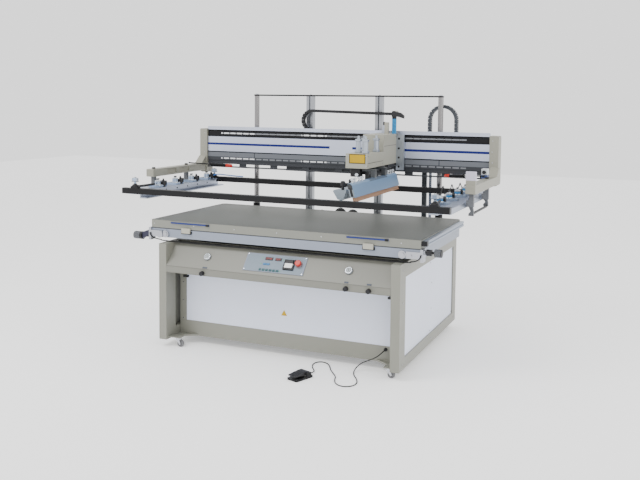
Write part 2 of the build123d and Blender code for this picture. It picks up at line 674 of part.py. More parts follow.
def beam_knob(x, y, top):
    """Clamp of a screen beam: black base, a waisted post and a bright T-head."""
    knob = block((x - 30, x + 26), (y - 19, y + 19), (top, top + 14))
    knob += post(x, y, (top + 13, top + 50), 8)
    return knob + post(x, y, (top + 48, top + 70), 17)


def screen_clamps():
    """Four air cylinders in a row that press the screen frame, with their black release knobs."""
    z0 = CHANNEL_TOP + SEAT_GAP
    first = -CLAMP_PITCH * (CLAMP_COUNT - 1) / 2 - 28
    clamps = Part()
    for index in range(CLAMP_COUNT):
        y = first + index * CLAMP_PITCH
        clamps += post(CLAMP_X, y, (z0, z0 + CLAMP_HEIGHT), CLAMP_RADIUS)
        clamps += block((CLAMP_X - 30, CLAMP_X + 60), (y - 26, y + 26), (z0, z0 + 12))
        clamps += post(CLAMP_X, y + 90, (z0, z0 + 26), 15)
        clamps += block((CLAMP_X - 18, CLAMP_X + 18), (y, y + 90), (z0, z0 + 10))
    clamps += beam_knob(KNOB_POST_X, SCREEN_FRONT_Y + SCREEN_BEAM / 2, SCREEN_BEAM_Z + SCREEN_BEAM)
    return clamps + beam_knob(*REAR_KNOB, z0)


def screen_beam(y, half):
    """Square black tube that carries the front or back edge of the screen."""
    z = SCREEN_BEAM_Z
    tube = block((-half, half), (y, y + SCREEN_BEAM), (z, z + SCREEN_BEAM))
    return fillet(tube.edges().filter_by(Axis.X), SCREEN_BEAM_CORNER)


def chain_loop(radius, width, thick, centre, y, straight_low, straight_high, quarter):
    """Cable chain: two straight runs joined by a half turn, one fixed loop."""
    outer = radius + thick / 2
    inner = radius - thick / 2
    ring = Cylinder(outer, width) - Cylinder(inner, width + 2)
    half_turn = ring & (Pos(-outer, 0, 0) * Box(2 * outer, 2 * outer, width + 2))
    low = Pos(straight_low / 2, -radius, 0) * Box(straight_low, thick, width)
    high = Pos(straight_high / 2, radius, 0) * Box(straight_high, thick, width)
    loop = half_turn + low + high
    return Pos(centre[0], y, centre[1]) * Rot(90, 0, 0) * Rot(0, 0, quarter) * loop


BEAM_CHAIN_RADIUS = 77.0
BEAM_CHAIN_X = -245.0
BEAM_CHAIN_Y = BEAM_FACE_Y + 46.0
BEAM_CHAIN_THICK = 22.0
BEAM_CHAIN_Z = BEAM_DECK + SEAT_GAP + BEAM_CHAIN_THICK / 2 + BEAM_CHAIN_RADIUS
BEAM_CHAIN_FIXED_END = 560.0
BEAM_CHAIN_FREE_END = 430.0 - BEAM_CHAIN_X
LIFT_CHAIN_X = 776.0
LIFT_CHAIN_RADIUS = 102.0
LIFT_CHAIN_THICK = 26.0
LIFT_CHAIN_Y = COLUMN_Y + 64.0
LIFT_CHAIN_TOP = 1702.0
LIFT_CHAIN_MIDDLE = LIFT_CHAIN_TOP - LIFT_CHAIN_RADIUS - LIFT_CHAIN_THICK / 2
LIFT_CHAIN_FREE_END = 160.0
GUIDE_GAP = 4.0
GUIDE_WIDTH = 36.0
LIFT_CHAIN_FOOT = 1235.0
GUIDE_TOP = LIFT_CHAIN_FOOT + 85.0
DECK_HOSE_X = (679.5, 690.5)
DECK_HOSE_RADIUS = 5.2


def lift_chain():
    """Cable chain of the rising head, one fixed loop, with the trough and the shelf it stands on."""
    centre = (LIFT_CHAIN_X, LIFT_CHAIN_MIDDLE)
    foot = LIFT_CHAIN_MIDDLE - LIFT_CHAIN_FOOT
    size = (LIFT_CHAIN_RADIUS, 40, LIFT_CHAIN_THICK)
    loop = chain_loop(*size, centre, LIFT_CHAIN_Y, foot, LIFT_CHAIN_FREE_END, -90)
    x = LIFT_CHAIN_X - LIFT_CHAIN_RADIUS - LIFT_CHAIN_THICK / 2 - GUIDE_GAP
    trough = block((x - GUIDE_WIDTH, x), (LIFT_CHAIN_Y - 14, LIFT_CHAIN_Y + 14), (CABINET_TOP, GUIDE_TOP))
    trough += block((x - GUIDE_WIDTH - 14, x), (LIFT_CHAIN_Y - 22, LIFT_CHAIN_Y + 22), (CABINET_TOP, CABINET_TOP + 8))
    shelf_x = (x - GUIDE_WIDTH, LIFT_CHAIN_X - LIFT_CHAIN_RADIUS + LIFT_CHAIN_THICK / 2 + 4)
    trough += block(shelf_x, (LIFT_CHAIN_Y - 14, LIFT_CHAIN_Y + 14), (LIFT_CHAIN_FOOT - 12, LIFT_CHAIN_FOOT))
    for hose_x in DECK_HOSE_X:
        trough += post(hose_x, LIFT_CHAIN_Y, (CABINET_TOP, LIFT_CHAIN_FOOT - 11), DECK_HOSE_RADIUS)
    return loop + trough


TABLE_HOSE_Y = TABLE_BACK + 113.0
HOSE_ARCH_A = (0.0, 38.0, CABINET_TOP + 163.0)
HOSE_ARCH_B = (104.0, 36.0, CABINET_TOP + 157.0)
TABLE_HOSE_RADIUS = 14.0
PIPE_X = -159.0
PIPE_TOP = CABINET_TOP + 135.0


def hose_arch(middle, radius, top, tube):
    """One hose that rises from the deck, turns over and goes back down."""
    centre = top - tube - radius
    ring = Pos(middle, TABLE_HOSE_Y, centre) * Rot(90, 0, 0) * Torus(radius, tube)
    arch = ring & block((middle - 200, middle + 200), (0, TABLE_HOSE_Y + 99), (centre, centre + 200))
    for side in (-1, 1):
        arch += post(middle + side * radius, TABLE_HOSE_Y, (CABINET_TOP, centre), tube)
    return arch


def table_hoses():
    """Suction hoses that come out of the deck behind the table, and the upright pipe beside them."""
    pipe = post(PIPE_X, TABLE_HOSE_Y, (CABINET_TOP, PIPE_TOP), 10)
    return hose_arch(*HOSE_ARCH_A, TABLE_HOSE_RADIUS) + hose_arch(*HOSE_ARCH_B, TABLE_HOSE_RADIUS) + pipe


# Print carriage

CARRIAGE_X_RANGE = (CARRIAGE_X - CARRIAGE_WIDTH / 2, CARRIAGE_X + CARRIAGE_WIDTH / 2)
CARRIAGE_BACK = BEAM_FACE_Y - RUNNING_GAP


def carriage_housing():
    """Folded housing: a low nose over the squeegee and a tall body beside the beam."""
    outline = [
        (CARRIAGE_FRONT, CARRIAGE_FLOOR), (CARRIAGE_BACK, CARRIAGE_FLOOR), (CARRIAGE_BACK, CARRIAGE_TOP),
        (CARRIAGE_STEP_Y, CARRIAGE_TOP), (CARRIAGE_STEP_Y, CARRIAGE_STEP_Z), (CARRIAGE_FRONT, CARRIAGE_STEP_Z),
    ]
    housing = side_profile(outline, CARRIAGE_X_RANGE)
    for x, places in ((SQUEEGEE_ROD_X, SQUEEGEE_ROD_Y), (FLOOD_ROD_X, FLOOD_ROD_Y)):
        for y in places:
            housing -= post(x, y, (CARRIAGE_FLOOR - 1, CARRIAGE_FLOOR + ROD_REACH + 4), ROD_RADIUS + SEAT_GAP)
    return housing


def carriage_plate():
    """Slide plate that rides on the beam's guide rail."""
    x = (CARRIAGE_X_RANGE[1], CARRIAGE_X_RANGE[1] + CARRIAGE_PLATE_WIDTH)
    plate = block(x, (CARRIAGE_BACK - CARRIAGE_PLATE_THICK, CARRIAGE_BACK), (CARRIAGE_PLATE_FLOOR, CARRIAGE_TOP - 6))
    truck_y = (CARRIAGE_BACK, BEAM_FACE_Y + RAIL_SETBACK - SEAT_GAP)
    truck_z = (RAIL_Z[0] - 3, RAIL_Z[1] + 3)
    return plate + block((x[0] - 110, x[1] - 4), truck_y, truck_z)


CYLINDER_RADIUS = 17.0
CYLINDER_HEIGHT = 96.0


def stroke_cylinders():
    """Four small air cylinders on the nose, over the rods that raise and lower the two blades."""
    group = Part()
    for x, places in ((SQUEEGEE_ROD_X, SQUEEGEE_ROD_Y), (FLOOD_ROD_X, FLOOD_ROD_Y)):
        for y in places:
            top = CARRIAGE_STEP_Z + CYLINDER_HEIGHT
            group += post(x, y, (CARRIAGE_STEP_Z, top), CYLINDER_RADIUS)
            group += post(x, y, (top, top + 16), ROD_RADIUS)
    return group


def hose_mast():
    """Sheet bracket and the row of blue hoses that rise from the carriage to the chain's end."""
    radius = (HOSE_X[1] - HOSE_X[0]) / 6
    back = HOSE_Y + radius + 2
    mast = block((HOSE_X[0] - 4, HOSE_X[1] - 14), (back, back + MAST_SHEET), (CARRIAGE_TOP, MAST_TOP))
    mast += block((HOSE_X[0] - 4, HOSE_X[1] - 14), (back, back + 30), (CARRIAGE_TOP, CARRIAGE_TOP + 5))
    mast += block((HOSE_X[0] - 4, HOSE_X[1] - 14), (back, CARRIAGE_BACK + 26), (MAST_TOP - MAST_SHEET, MAST_TOP))
    for index in range(3):
        x = HOSE_X[0] + radius * (1 + 2 * index)
        mast += post(x, HOSE_Y, (CARRIAGE_TOP, HOSE_CAP_Z[0] + 4), radius + 0.2)
    outline = [
        (HOSE_X[0] - 2, HOSE_CAP_Z[0]), (HOSE_X[1] + 2, HOSE_CAP_Z[0]), (HOSE_X[1] + 26, HOSE_CAP_Z[0] - 4),
        (HOSE_X[1] + 58, HOSE_CAP_Z[0] - 14), (HOSE_X[1] + 60, HOSE_CAP_Z[0] + 8),
        (HOSE_X[1] + 36, HOSE_CAP_Z[1] - 8), (HOSE_X[1] + 6, HOSE_CAP_Z[1]), (HOSE_X[0] - 2, HOSE_CAP_Z[1]),
    ]
    mast += front_profile(outline, (HOSE_Y - radius - 2, back + 1))
    pillar = block((398, 426), (HOSE_Y - 14, HOSE_Y + 14), (CARRIAGE_TOP, CARRIAGE_TOP + 84))
    return mast + pillar


BLADE_TOP = SQUEEGEE_BOTTOM + BLADE_SHOWS
HOLDER_TOP = BLADE_TOP + HOLDER_HEIGHT
ROD_REACH = BLADE_STROKE + 12.0
CARRIER_TOP = CARRIAGE_FLOOR - RUNNING_GAP


def blade_carrier(blade_x, rod_x, rod_places, holder_top):
    """Two bridges over a blade holder, each with the piston rod that lifts it."""
    parts = Part()
    x = (min(blade_x, rod_x) - 16, max(blade_x, rod_x) + 16)
    for y in rod_places:
        parts += block(x, (y - 22, y + 22), (CARRIER_TOP - 14, CARRIER_TOP))
        parts += block((blade_x - 14, blade_x + 14), (y - 22, y + 22), (holder_top - 6, CARRIER_TOP - 14))
        parts += post(rod_x, y, (CARRIER_TOP, CARRIAGE_FLOOR + ROD_REACH), ROD_RADIUS)
    return parts


SQUEEGEE_ROD_X = CARRIAGE_X_RANGE[1] - 34
FLOOD_ROD_X = CARRIAGE_X_RANGE[0] + 50


def leaning(z):
    """Middle of the leaning squeegee at a height."""
    share = (z - BLADE_TOP) / HOLDER_HEIGHT
    return SQUEEGEE_X + SQUEEGEE_LEAN * (1 - 2 * share)


def squeegee_holder():
    """Aluminium squeegee holder, a deep channel that leans back from the blade, with its carriers."""
    low = leaning(BLADE_TOP)
    high = leaning(HOLDER_TOP)
    shoulder = leaning(HOLDER_TOP - 10)
    half = SQUEEGEE_HALF
    outline = [
        (low - half, BLADE_TOP), (low + half, BLADE_TOP), (shoulder + half, HOLDER_TOP - 10),
        (high + 8, HOLDER_TOP), (high - 8, HOLDER_TOP), (shoulder - half, HOLDER_TOP - 10),
    ]
    body = front_profile(outline, (SQUEEGEE_FRONT, SQUEEGEE_BACK))
    return body + blade_carrier(high, SQUEEGEE_ROD_X, SQUEEGEE_ROD_Y, HOLDER_TOP)


def squeegee_blade():
    """Tan rubber blade held in the foot of the holder, on the same lean."""
    low = leaning(SQUEEGEE_BOTTOM)
    high = leaning(BLADE_TOP)
    outline = [
        (low - BLADE_HALF, SQUEEGEE_BOTTOM), (low + BLADE_HALF, SQUEEGEE_BOTTOM),
        (high + BLADE_HALF, BLADE_TOP), (high - BLADE_HALF, BLADE_TOP),
    ]
    return front_profile(outline, (SQUEEGEE_FRONT + 4, SQUEEGEE_BACK - 4))


FLOOD_CLEAR = 18.0


def flood_bar():
    """Low flood holder, narrower at its foot, with the thin steel flood blade."""
    x = FLOOD_X
    right = leaning(FLOOD_TOP) - SQUEEGEE_HALF - FLOOD_CLEAR
    foot = SQUEEGEE_BOTTOM + 4
    outline = [
        (x - 51, FLOOD_TOP - 10), (x - 45, FLOOD_TOP - 3), (right - 4, FLOOD_TOP), (right, FLOOD_TOP - 6),
        (x + 22, foot + 12), (x + 6, foot + 6), (x + 3, foot), (x - 3, foot), (x - 5, foot + 6),
        (x - 18, foot + 8),
    ]
    body = front_profile(outline, (SQUEEGEE_FRONT + 6, SQUEEGEE_BACK - 6))
    return body + blade_carrier(FLOOD_X, FLOOD_ROD_X, FLOOD_ROD_Y, FLOOD_TOP)


# Register knobs at the two ends of the front rail

REGISTER_Y = TABLE_FRONT + 20
REGISTER_Z = {"left": 756.0, "right": 804.0}
REGISTER_X = TABLE_HALF - SUBFRAME_END_INSET
REGISTER_PLATE = 18.0
REGISTER_BOSS_X = 867.0
COLLAR_X = {"left": (85.0, 101.0), "right": (32.0, 66.0)}
COLLAR_RADIUS = {"left": 28.0, "right": 20.0}
KNURL_X = {"left": (101.0, 156.0), "right": (84.0, 130.0)}
KNURL_RADIUS = {"left": 27.0, "right": 25.0}
STAND_REACH = 84.0


def register_bracket(side):
    """End plate of the front rail with the screw's seat, the face plate and the round covers."""
    z = REGISTER_Z[side]
    front = TABLE_FRONT + SUBFRAME_FRONT_INSET
    outside = REGISTER_X + REGISTER_PLATE
    foot = SUBFRAME_BOTTOM - 16 if side == "right" else z - 20
    plate = block((REGISTER_X, outside), (front - 12, REGISTER_Y + 26), (foot, SUBFRAME_TOP - 2))
    plate += block((REGISTER_X - 92, REGISTER_X + 1), (front - 12, front), (SUBFRAME_BOTTOM + 2, SUBFRAME_TOP - 20))
    reach = outside + 8
    if side == "right":
        plate += bar_x((outside - 1, reach), REGISTER_Y, z, 17)
        plate += bar_y(REGISTER_X - 60, (front - 18, front - 11), SUBFRAME_BOTTOM + 20, 8)
    else:
        reach = REGISTER_X + STAND_REACH
        arm = [(outside - 1, z + 13), (outside - 1, z + 51), (reach, z + 26), (reach, z - 21)]
        plate += front_profile(arm, (REGISTER_Y - 16, REGISTER_Y + 16))
        plate += bar_y(REGISTER_X - 74, (front - 17, front - 11), SUBFRAME_BOTTOM + 20, 24)
    bore = bar_x((REGISTER_X + 2, reach + 1), REGISTER_Y, z, 8 + SEAT_GAP)
    cover = bar_y(REGISTER_BOSS_X, (front - 10, front), SUBFRAME_BOTTOM + 24, 25)
    cover += bar_y(REGISTER_BOSS_X, (front - 15, front - 9), SUBFRAME_BOTTOM + 24, 15)
    return plate - bore + cover


def register_knob(side):
    """Micrometer screw: shaft, graduated black collar and knurled knob."""
    z = REGISTER_Z[side]
    collar_x = [REGISTER_X + step for step in COLLAR_X[side]]
    knurl_x = [REGISTER_X + step for step in KNURL_X[side]]
    shaft = bar_x((REGISTER_X + 4, knurl_x[0] + 10), REGISTER_Y, z, 8)
    collar = bar_x(collar_x, REGISTER_Y, z, COLLAR_RADIUS[side])
    knob = bar_x(knurl_x, REGISTER_Y, z, KNURL_RADIUS[side])
    return shaft + collar + fillet(knob.edges().filter_by(GeomType.CIRCLE), 3)


# Foot pedal and its cord

PEDAL_X = 297.0
PEDAL_Y = -790.0
PEDAL_TURN = -20.0
PEDAL_LENGTH = 150.0
PEDAL_WIDTH = 88.0
PEDAL_FLOOR = 12.0
PEDAL_PIN = (34.0, 30.0)
PEDAL_TAIL = 13.0
CORD_RADIUS = 3.5
GLAND_X = LEG_INNER - 86.0
GLAND_Z = 137.0
GLAND_LENGTH = 22.0
EXIT_Z = 9.0


def at_pedal(x, y, z):
    """A place given in the pedal's own turned frame."""
    turn = radians(PEDAL_TURN)
    return (PEDAL_X + x * cos(turn) - y * sin(turn), PEDAL_Y + x * sin(turn) + y * cos(turn), z)


def pedal_base():
    """Cast base with side cheeks for the treadle's pin and a tail for the cord."""
    body = Box(PEDAL_WIDTH, PEDAL_LENGTH, PEDAL_FLOOR, align=(Align.CENTER, Align.CENTER, Align.MIN))
    body = fillet(body.edges().filter_by(Axis.Z), 12)
    pin_y, pin_z = PEDAL_PIN
    for side in (-1, 1):
        x = side * (PEDAL_WIDTH / 2 - 3)
        body += block((x - 3, x + 3), (pin_y - 20, pin_y + 20), (PEDAL_FLOOR - 2, pin_z + 8))
    body -= bar_x((-PEDAL_WIDTH, PEDAL_WIDTH), pin_y, pin_z, 3 + SEAT_GAP)
    body += bar_y(0, (PEDAL_LENGTH / 2 - 4, PEDAL_LENGTH / 2 + PEDAL_TAIL), EXIT_Z, 7)
    return Pos(PEDAL_X, PEDAL_Y, 0) * Rot(0, 0, PEDAL_TURN) * body


def pedal_treadle():
    """Treadle on its cross pin, raised at the toe."""
    half = PEDAL_WIDTH / 2 - 11
    pin_y, pin_z = PEDAL_PIN
    outline = [(-72, 27), (-72, 33), (-20, 40), (pin_y + 12, 42), (pin_y + 22, 36), (pin_y + 8, 24), (pin_y - 10, 24)]
    tread = side_profile(outline, (-half, half))
    tread += bar_x((-PEDAL_WIDTH / 2 + 0.5, PEDAL_WIDTH / 2 - 0.5), pin_y, pin_z, 3)
    return Pos(PEDAL_X, PEDAL_Y, 0) * Rot(0, 0, PEDAL_TURN) * tread


def cord_gland():
    """Nut and collar where the pedal's cord enters the toe panel."""
    nut = bar_y(GLAND_X, (RECESS_Y - 8, RECESS_Y), GLAND_Z, 11)
    return nut + bar_y(GLAND_X, (RECESS_Y - GLAND_LENGTH, RECESS_Y - 8), GLAND_Z, 7)


FLOOR_Z = 4.0
CORD_ROUTE = [
    (GLAND_X, RECESS_Y - GLAND_LENGTH, GLAND_Z),
    (GLAND_X, RECESS_Y - GLAND_LENGTH - 36, GLAND_Z),
    (718, -512, 120),
    (684, -516, 96),
    (636, -506, 72),
    (594, -500, 50),
    (566, -512, 24),
    (562, -552, 6),
    (584, -608, FLOOR_Z),
    (628, -668, FLOOR_Z),
    (660, -742, FLOOR_Z),
    (648, -802, FLOOR_Z),
    (600, -832, FLOOR_Z),
    (544, -806, FLOOR_Z),
    (510, -746, FLOOR_Z),
    (494, -684, FLOOR_Z),
    (456, -634, FLOOR_Z),
    (410, -572, FLOOR_Z),
    (378, -508, FLOOR_Z),
    (342, -464, FLOOR_Z),
    (300, -450, FLOOR_Z),
    (268, -472, FLOOR_Z),
    (262, -518, FLOOR_Z),
    (284, -580, FLOOR_Z),
    (320, -626, 5),
    at_pedal(0, PEDAL_LENGTH / 2 + PEDAL_TAIL + 36, EXIT_Z),
    at_pedal(0, PEDAL_LENGTH / 2 + PEDAL_TAIL, EXIT_Z),
]


def pedal_cord():
    """The pedal's cord: straight runs joined by tangent arcs."""
    points = [Vector(*p) for p in CORD_ROUTE]
    radii = []
    for before, here, after in zip(points, points[1:], points[2:]):
        half_turn = radians((here - before).get_angle(after - here)) / 2
        shorter = min((here - before).length, (after - here).length)
        radii.append(0.45 * shorter / tan(half_turn))
    print("cord radii", [round(r, 1) for r in radii])
    print("cord runs", [round((b - a).length, 1) for a, b in zip(points, points[1:])])
    path = FilletPolyline(*points, radius=radii)
    section = Plane(origin=points[0], z_dir=points[1] - points[0]) * Circle(CORD_RADIUS)
    tube = sweep(section, path=path)
    print("cord length", round(path.length, 1), "volume ratio", tube.volume / (pi * CORD_RADIUS**2 * path.length))
    return tube


def export_all(nodes):
    """Centre the machine's footprint on the origin and write each piece."""
    lows = []
    highs = []
    for name, shape in nodes.items():
        if name in LOOSE:
            continue
        bounds = shape.bounding_box()
        lows.append(bounds.min)
        highs.append(bounds.max)
    middle_y = (min(p.Y for p in lows) + max(p.Y for p in highs)) / 2
    middle_x = (min(p.X for p in lows) + max(p.X for p in highs)) / 2
    for name, shape in nodes.items():
        export_step(Pos(-middle_x, -middle_y, 0) * shape, f"parts/{name}.step")
    print("footprint centre", round(middle_x, 3), round(middle_y, 3))


LOOSE = ("pedal_base", "pedal_treadle", "pedal_cord")

nodes = {
    "end_frame_left": mirrored(end_frame()),
    "end_frame_right": end_frame(),
    "side_panels": side_panel() + mirrored(side_panel()),
    "front_fascia": front_fascia(),
    "front_surround": front_surround(),
    "front_panel": front_panel(),
    "foot_gussets": foot_gussets(),
    "back_panel": back_panel(),
    "top_deck": top_deck(),
    "control_panel": control_panel(),
    "rocker_switch": rocker_switch(),
    "emergency_stop": emergency_stop(),
    "pressure_gauges": pressure_gauge(-GAUGE_X) + pressure_gauge(GAUGE_X),
    "table_top": table_top(),
    "table_edges": table_edge(),
    "register_strips": register_strip(LAY_BARS[0]) + register_strip(LAY_BARS[1]),
    "table_subframe": subframe(),
    "register_brackets": register_bracket("right") + mirrored(register_bracket("left"))
    + pinch_block(PINCH_X[0]) + pinch_block(PINCH_X[1]),
    "register_knob_right": register_knob("right"),
    "register_knob_left": mirrored(register_knob("left")),
    "outer_columns": outer_column(-OUTER_COLUMN_X) + outer_column(OUTER_COLUMN_X),
    "inner_columns": inner_column(-INNER_COLUMN_X) + inner_column(INNER_COLUMN_X),
    "tie_bars": tie_bar((-OUTER_COLUMN_X - 20, -INNER_COLUMN_X + 10))
    + tie_bar((-INNER_COLUMN_X + 14, INNER_COLUMN_X - 14))
    + tie_bar((INNER_COLUMN_X - 10, OUTER_COLUMN_X + 20)),
    "main_beam": main_beam(),
    "beam_rail": beam_rail(),
    "end_bracket_right": end_bracket() + valve_fittings(),
    "end_bracket_left": mirrored(end_bracket()),
    "clamp_channel_right": clamp_channel(LIP_FRONT["right"]),
    "clamp_channel_left": mirrored(clamp_channel(LIP_FRONT["left"])),
    "screen_clamps_right": screen_clamps(),
    "screen_clamps_left": mirrored(screen_clamps()),
    "screen_beam_front": screen_beam(SCREEN_FRONT_Y, SCREEN_FRONT_HALF),
    "screen_beam_back": screen_beam(SCREEN_BACK_Y, SCREEN_BACK_HALF),
    "beam_chain": chain_loop(
        BEAM_CHAIN_RADIUS, 40, BEAM_CHAIN_THICK, (BEAM_CHAIN_X, BEAM_CHAIN_Z), BEAM_CHAIN_Y,
        BEAM_CHAIN_FIXED_END, BEAM_CHAIN_FREE_END, 0,
    ),
    "lift_chain": lift_chain(),
    "table_hoses": table_hoses(),
    "carriage_housing": carriage_housing(),
    "carriage_plate": carriage_plate(),
    "stroke_cylinders": stroke_cylinders(),
    "hose_mast": hose_mast(),
    "squeegee_holder": squeegee_holder(),
    "squeegee_blade": squeegee_blade(),
    "flood_bar": flood_bar(),
    "pedal_base": pedal_base(),
    "pedal_treadle": pedal_treadle(),
    "pedal_cord": pedal_cord(),
    "cord_gland": cord_gland(),
    "lift_bearings": lift_bearings(),
}

for label, x in zip(("left", "middle", "right"), KNOB_X):
    nodes[f"regulator_knob_{label}"] = regulator_knob(x)

for label, x, y in (
    ("front_left", CASTOR_LEFT_X, CASTOR_FRONT_Y),
    ("front_right", CASTOR_RIGHT_X, CASTOR_FRONT_Y),
    ("back_left", CASTOR_LEFT_X, CASTOR_BACK_Y),
    ("back_right", CASTOR_RIGHT_X, CASTOR_BACK_Y),
):
    nodes[f"castor_fork_{label}"] = castor_fork(x, y)
    nodes[f"castor_wheel_{label}"] = castor_wheel(x, y)

export_all(nodes)
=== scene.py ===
# %% [markdown]
# # Flatbed screen printing machine
# The machine's plates, tubes and moving pieces come ready made as the frame. This file adds what the eye
# needs: a camera at the place that the machine is seen from, light, the finish of every surface and the
# small fittings.

# %% Load the frame
import math

import bmesh
import bpy
from mathutils import Matrix, Vector


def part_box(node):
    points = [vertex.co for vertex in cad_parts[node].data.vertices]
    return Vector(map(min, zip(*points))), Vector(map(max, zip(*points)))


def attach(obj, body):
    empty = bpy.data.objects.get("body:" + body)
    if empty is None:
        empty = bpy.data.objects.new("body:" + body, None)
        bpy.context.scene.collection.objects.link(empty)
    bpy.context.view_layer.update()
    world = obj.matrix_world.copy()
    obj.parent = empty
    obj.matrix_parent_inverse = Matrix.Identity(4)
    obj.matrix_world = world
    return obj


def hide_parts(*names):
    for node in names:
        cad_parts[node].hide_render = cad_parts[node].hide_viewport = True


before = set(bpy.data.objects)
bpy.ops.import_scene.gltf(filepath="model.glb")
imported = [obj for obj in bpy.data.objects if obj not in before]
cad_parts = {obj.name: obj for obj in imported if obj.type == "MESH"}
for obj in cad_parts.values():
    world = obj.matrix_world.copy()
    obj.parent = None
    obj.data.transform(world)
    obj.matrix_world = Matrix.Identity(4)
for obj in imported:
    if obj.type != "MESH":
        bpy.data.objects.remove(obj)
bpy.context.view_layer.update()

# %% [markdown]
# ## Camera
# The machine's straight edges fix the view: its long edges run to one vanishing point and its depth to
# another. Solving for them gives a camera 5.4 m in front and 2.4 m to the right, turned to the left and a
# little down. The picture is shifted by an eighth of its width, as a view camera's sliding back does, so
# the machine sits above the middle while the columns stay nearly upright.

# %% Camera
IMAGE_WIDTH = 640
IMAGE_HEIGHT = 480
FOCAL_PIXELS = 818.96
PRINCIPAL = (329.46, 160.0)
CAMERA_PLACE = Vector((2.4015, -5.3939, 1.7346))
YAW = math.radians(22.982)
PITCH = math.radians(4.234)
ROLL = math.radians(0.584)

forward = Vector((-math.sin(YAW) * math.cos(PITCH), math.cos(YAW) * math.cos(PITCH), -math.sin(PITCH)))
level = Vector((math.cos(YAW), math.sin(YAW), 0.0))
upright = level.cross(forward)
right = level * math.cos(ROLL) + upright * math.sin(ROLL)
up = upright * math.cos(ROLL) - level * math.sin(ROLL)

lens = bpy.data.cameras.new("view_camera")
lens.sensor_width = 36.0
lens.lens = FOCAL_PIXELS / IMAGE_WIDTH * lens.sensor_width
lens.shift_x = (IMAGE_WIDTH / 2 - PRINCIPAL[0]) / IMAGE_WIDTH
lens.shift_y = (PRINCIPAL[1] - IMAGE_HEIGHT / 2) / IMAGE_WIDTH
lens.clip_end = 60.0
camera = bpy.data.objects.new("view_camera", lens)
camera.matrix_world = Matrix.Translation(CAMERA_PLACE) @ Matrix((right, up, -forward)).transposed().to_4x4()
bpy.context.scene.collection.objects.link(camera)
bpy.context.scene.camera = camera
print("lens", round(lens.lens, 2), "mm")

# %% [markdown]
# ## Places
# The machine is drawn in millimetres with Y measured from the table, while the frame is in metres around
# the middle of the footprint. One function turns a drawing place into a frame place, so every figure below
# can be read beside the machine's drawing.

# %% Places
FOOTPRINT_SHIFT = 75.85
AXES = {"x": Vector((1, 0, 0)), "y": Vector((0, 1, 0)), "z": Vector((0, 0, 1))}


def spot(x, y, z):
    """A drawing place in millimetres, given in the frame's metres."""
    return Vector((x, y - FOOTPRINT_SHIFT, z)) / 1000


table_low, table_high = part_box("table_top")
print("table centre, drawing to frame", spot(0, -33.5, 853), (table_low + table_high) / 2)

# %% [markdown]
# ## The pedal's cord
# A rubber flex leaves the gland on the toe panel, drops to the floor and wanders to the foot pedal. It is
# one smooth curve: the points only pull on it, as a hand lays a cord. The thickness is set point by point,
# over a bevel of one metre, because Blender counts a point's radius into the curve's box.

# %% Cord
CORD_ROUTE_MM = [
    (733, -448, 137),
    (733, -484, 137),
    (718, -512, 120),
    (684, -516, 96),
    (636, -506, 72),
    (594, -500, 50),
    (566, -512, 24),
    (562, -552, 6),
    (584, -608, 4),
    (628, -668, 4),
    (660, -742, 4),
    (648, -802, 4),
    (600, -832, 4),
    (544, -806, 4),
    (510, -746, 4),
    (494, -684, 4),
    (456, -634, 4),
    (410, -572, 4),
    (378, -508, 4),
    (342, -464, 4),
    (300, -450, 4),
    (268, -472, 4),
    (262, -518, 4),
    (284, -580, 4),
    (320, -626, 5),
]
CORD_DIAMETER = 0.007
PEDAL_MM = (297.0, -790.0)
PEDAL_TURN = math.radians(-20.0)
PEDAL_ENTRY_HEIGHT = 9.0
for along in (124.0, 88.0):
    in_line_x = PEDAL_MM[0] - along * math.sin(PEDAL_TURN)
    in_line_y = PEDAL_MM[1] + along * math.cos(PEDAL_TURN)
    CORD_ROUTE_MM.append((in_line_x, in_line_y, PEDAL_ENTRY_HEIGHT))


def smooth_line(name, points, diameter):
    """A round flex along one smooth line through the points' pull."""
    curve = bpy.data.curves.new(name, "CURVE")
    curve.dimensions = "3D"
    curve.bevel_depth = 1.0
    curve.bevel_resolution = 4
    curve.use_fill_caps = True
    spline = curve.splines.new("NURBS")
    spline.points.add(len(points) - 1)
    for point, place in zip(spline.points, points):
        point.co = (*place, 1.0)
        point.radius = diameter / 2
    spline.order_u = 3
    spline.use_endpoint_u = True
    spline.resolution_u = 6
    piece = bpy.data.objects.new(name, curve)
    bpy.context.scene.collection.objects.link(piece)
    return piece


cord_points = [tuple(spot(*place)) for place in CORD_ROUTE_MM]
cord = smooth_line("pedal_flex", cord_points, CORD_DIAMETER)
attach(cord, "cabinet")
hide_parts("pedal_cord")
print("cord points", len(cord_points))

# %% [markdown]
# ## Shader sums
# A pattern on a surface is arithmetic on numbers that change from point to point. Wrapping a socket in a
# small class lets that arithmetic be written as it is thought, and each operator adds the node behind it.

# %% Shader sums
class Flow:
    """A socket that can stand in a sum."""

    def __init__(self, finish, socket):
        self.finish = finish
        self.socket = socket

    def math(self, operation, *others):
        values = dict(enumerate((self, *others)))
        return self.finish.node("ShaderNodeMath", {"operation": operation}, values)

    def __add__(self, other):
        return self.math("ADD", other)

    def __sub__(self, other):
        return self.math("SUBTRACT", other)

    def __rsub__(self, other):
        return self * -1.0 + other

    def __mul__(self, other):
        return self.math("MULTIPLY", other)

    def __gt__(self, other):
        return self.math("GREATER_THAN", other)

    def __lt__(self, other):
        return self.math("LESS_THAN", other)

    __radd__ = __add__
    __rmul__ = __mul__

    def size(self):
        """The number without its sign."""
        return self.math("ABSOLUTE")

    def either(self, other):
        return self.math("MAXIMUM", other)

    def between(self, low, high):
        """One inside the band, nothing outside it."""
        return (self > low) * (self < high)

    def repeat(self, pitch):
        """Runs from nothing to one over each pitch."""
        return (self * (1.0 / pitch)).math("FRACT")


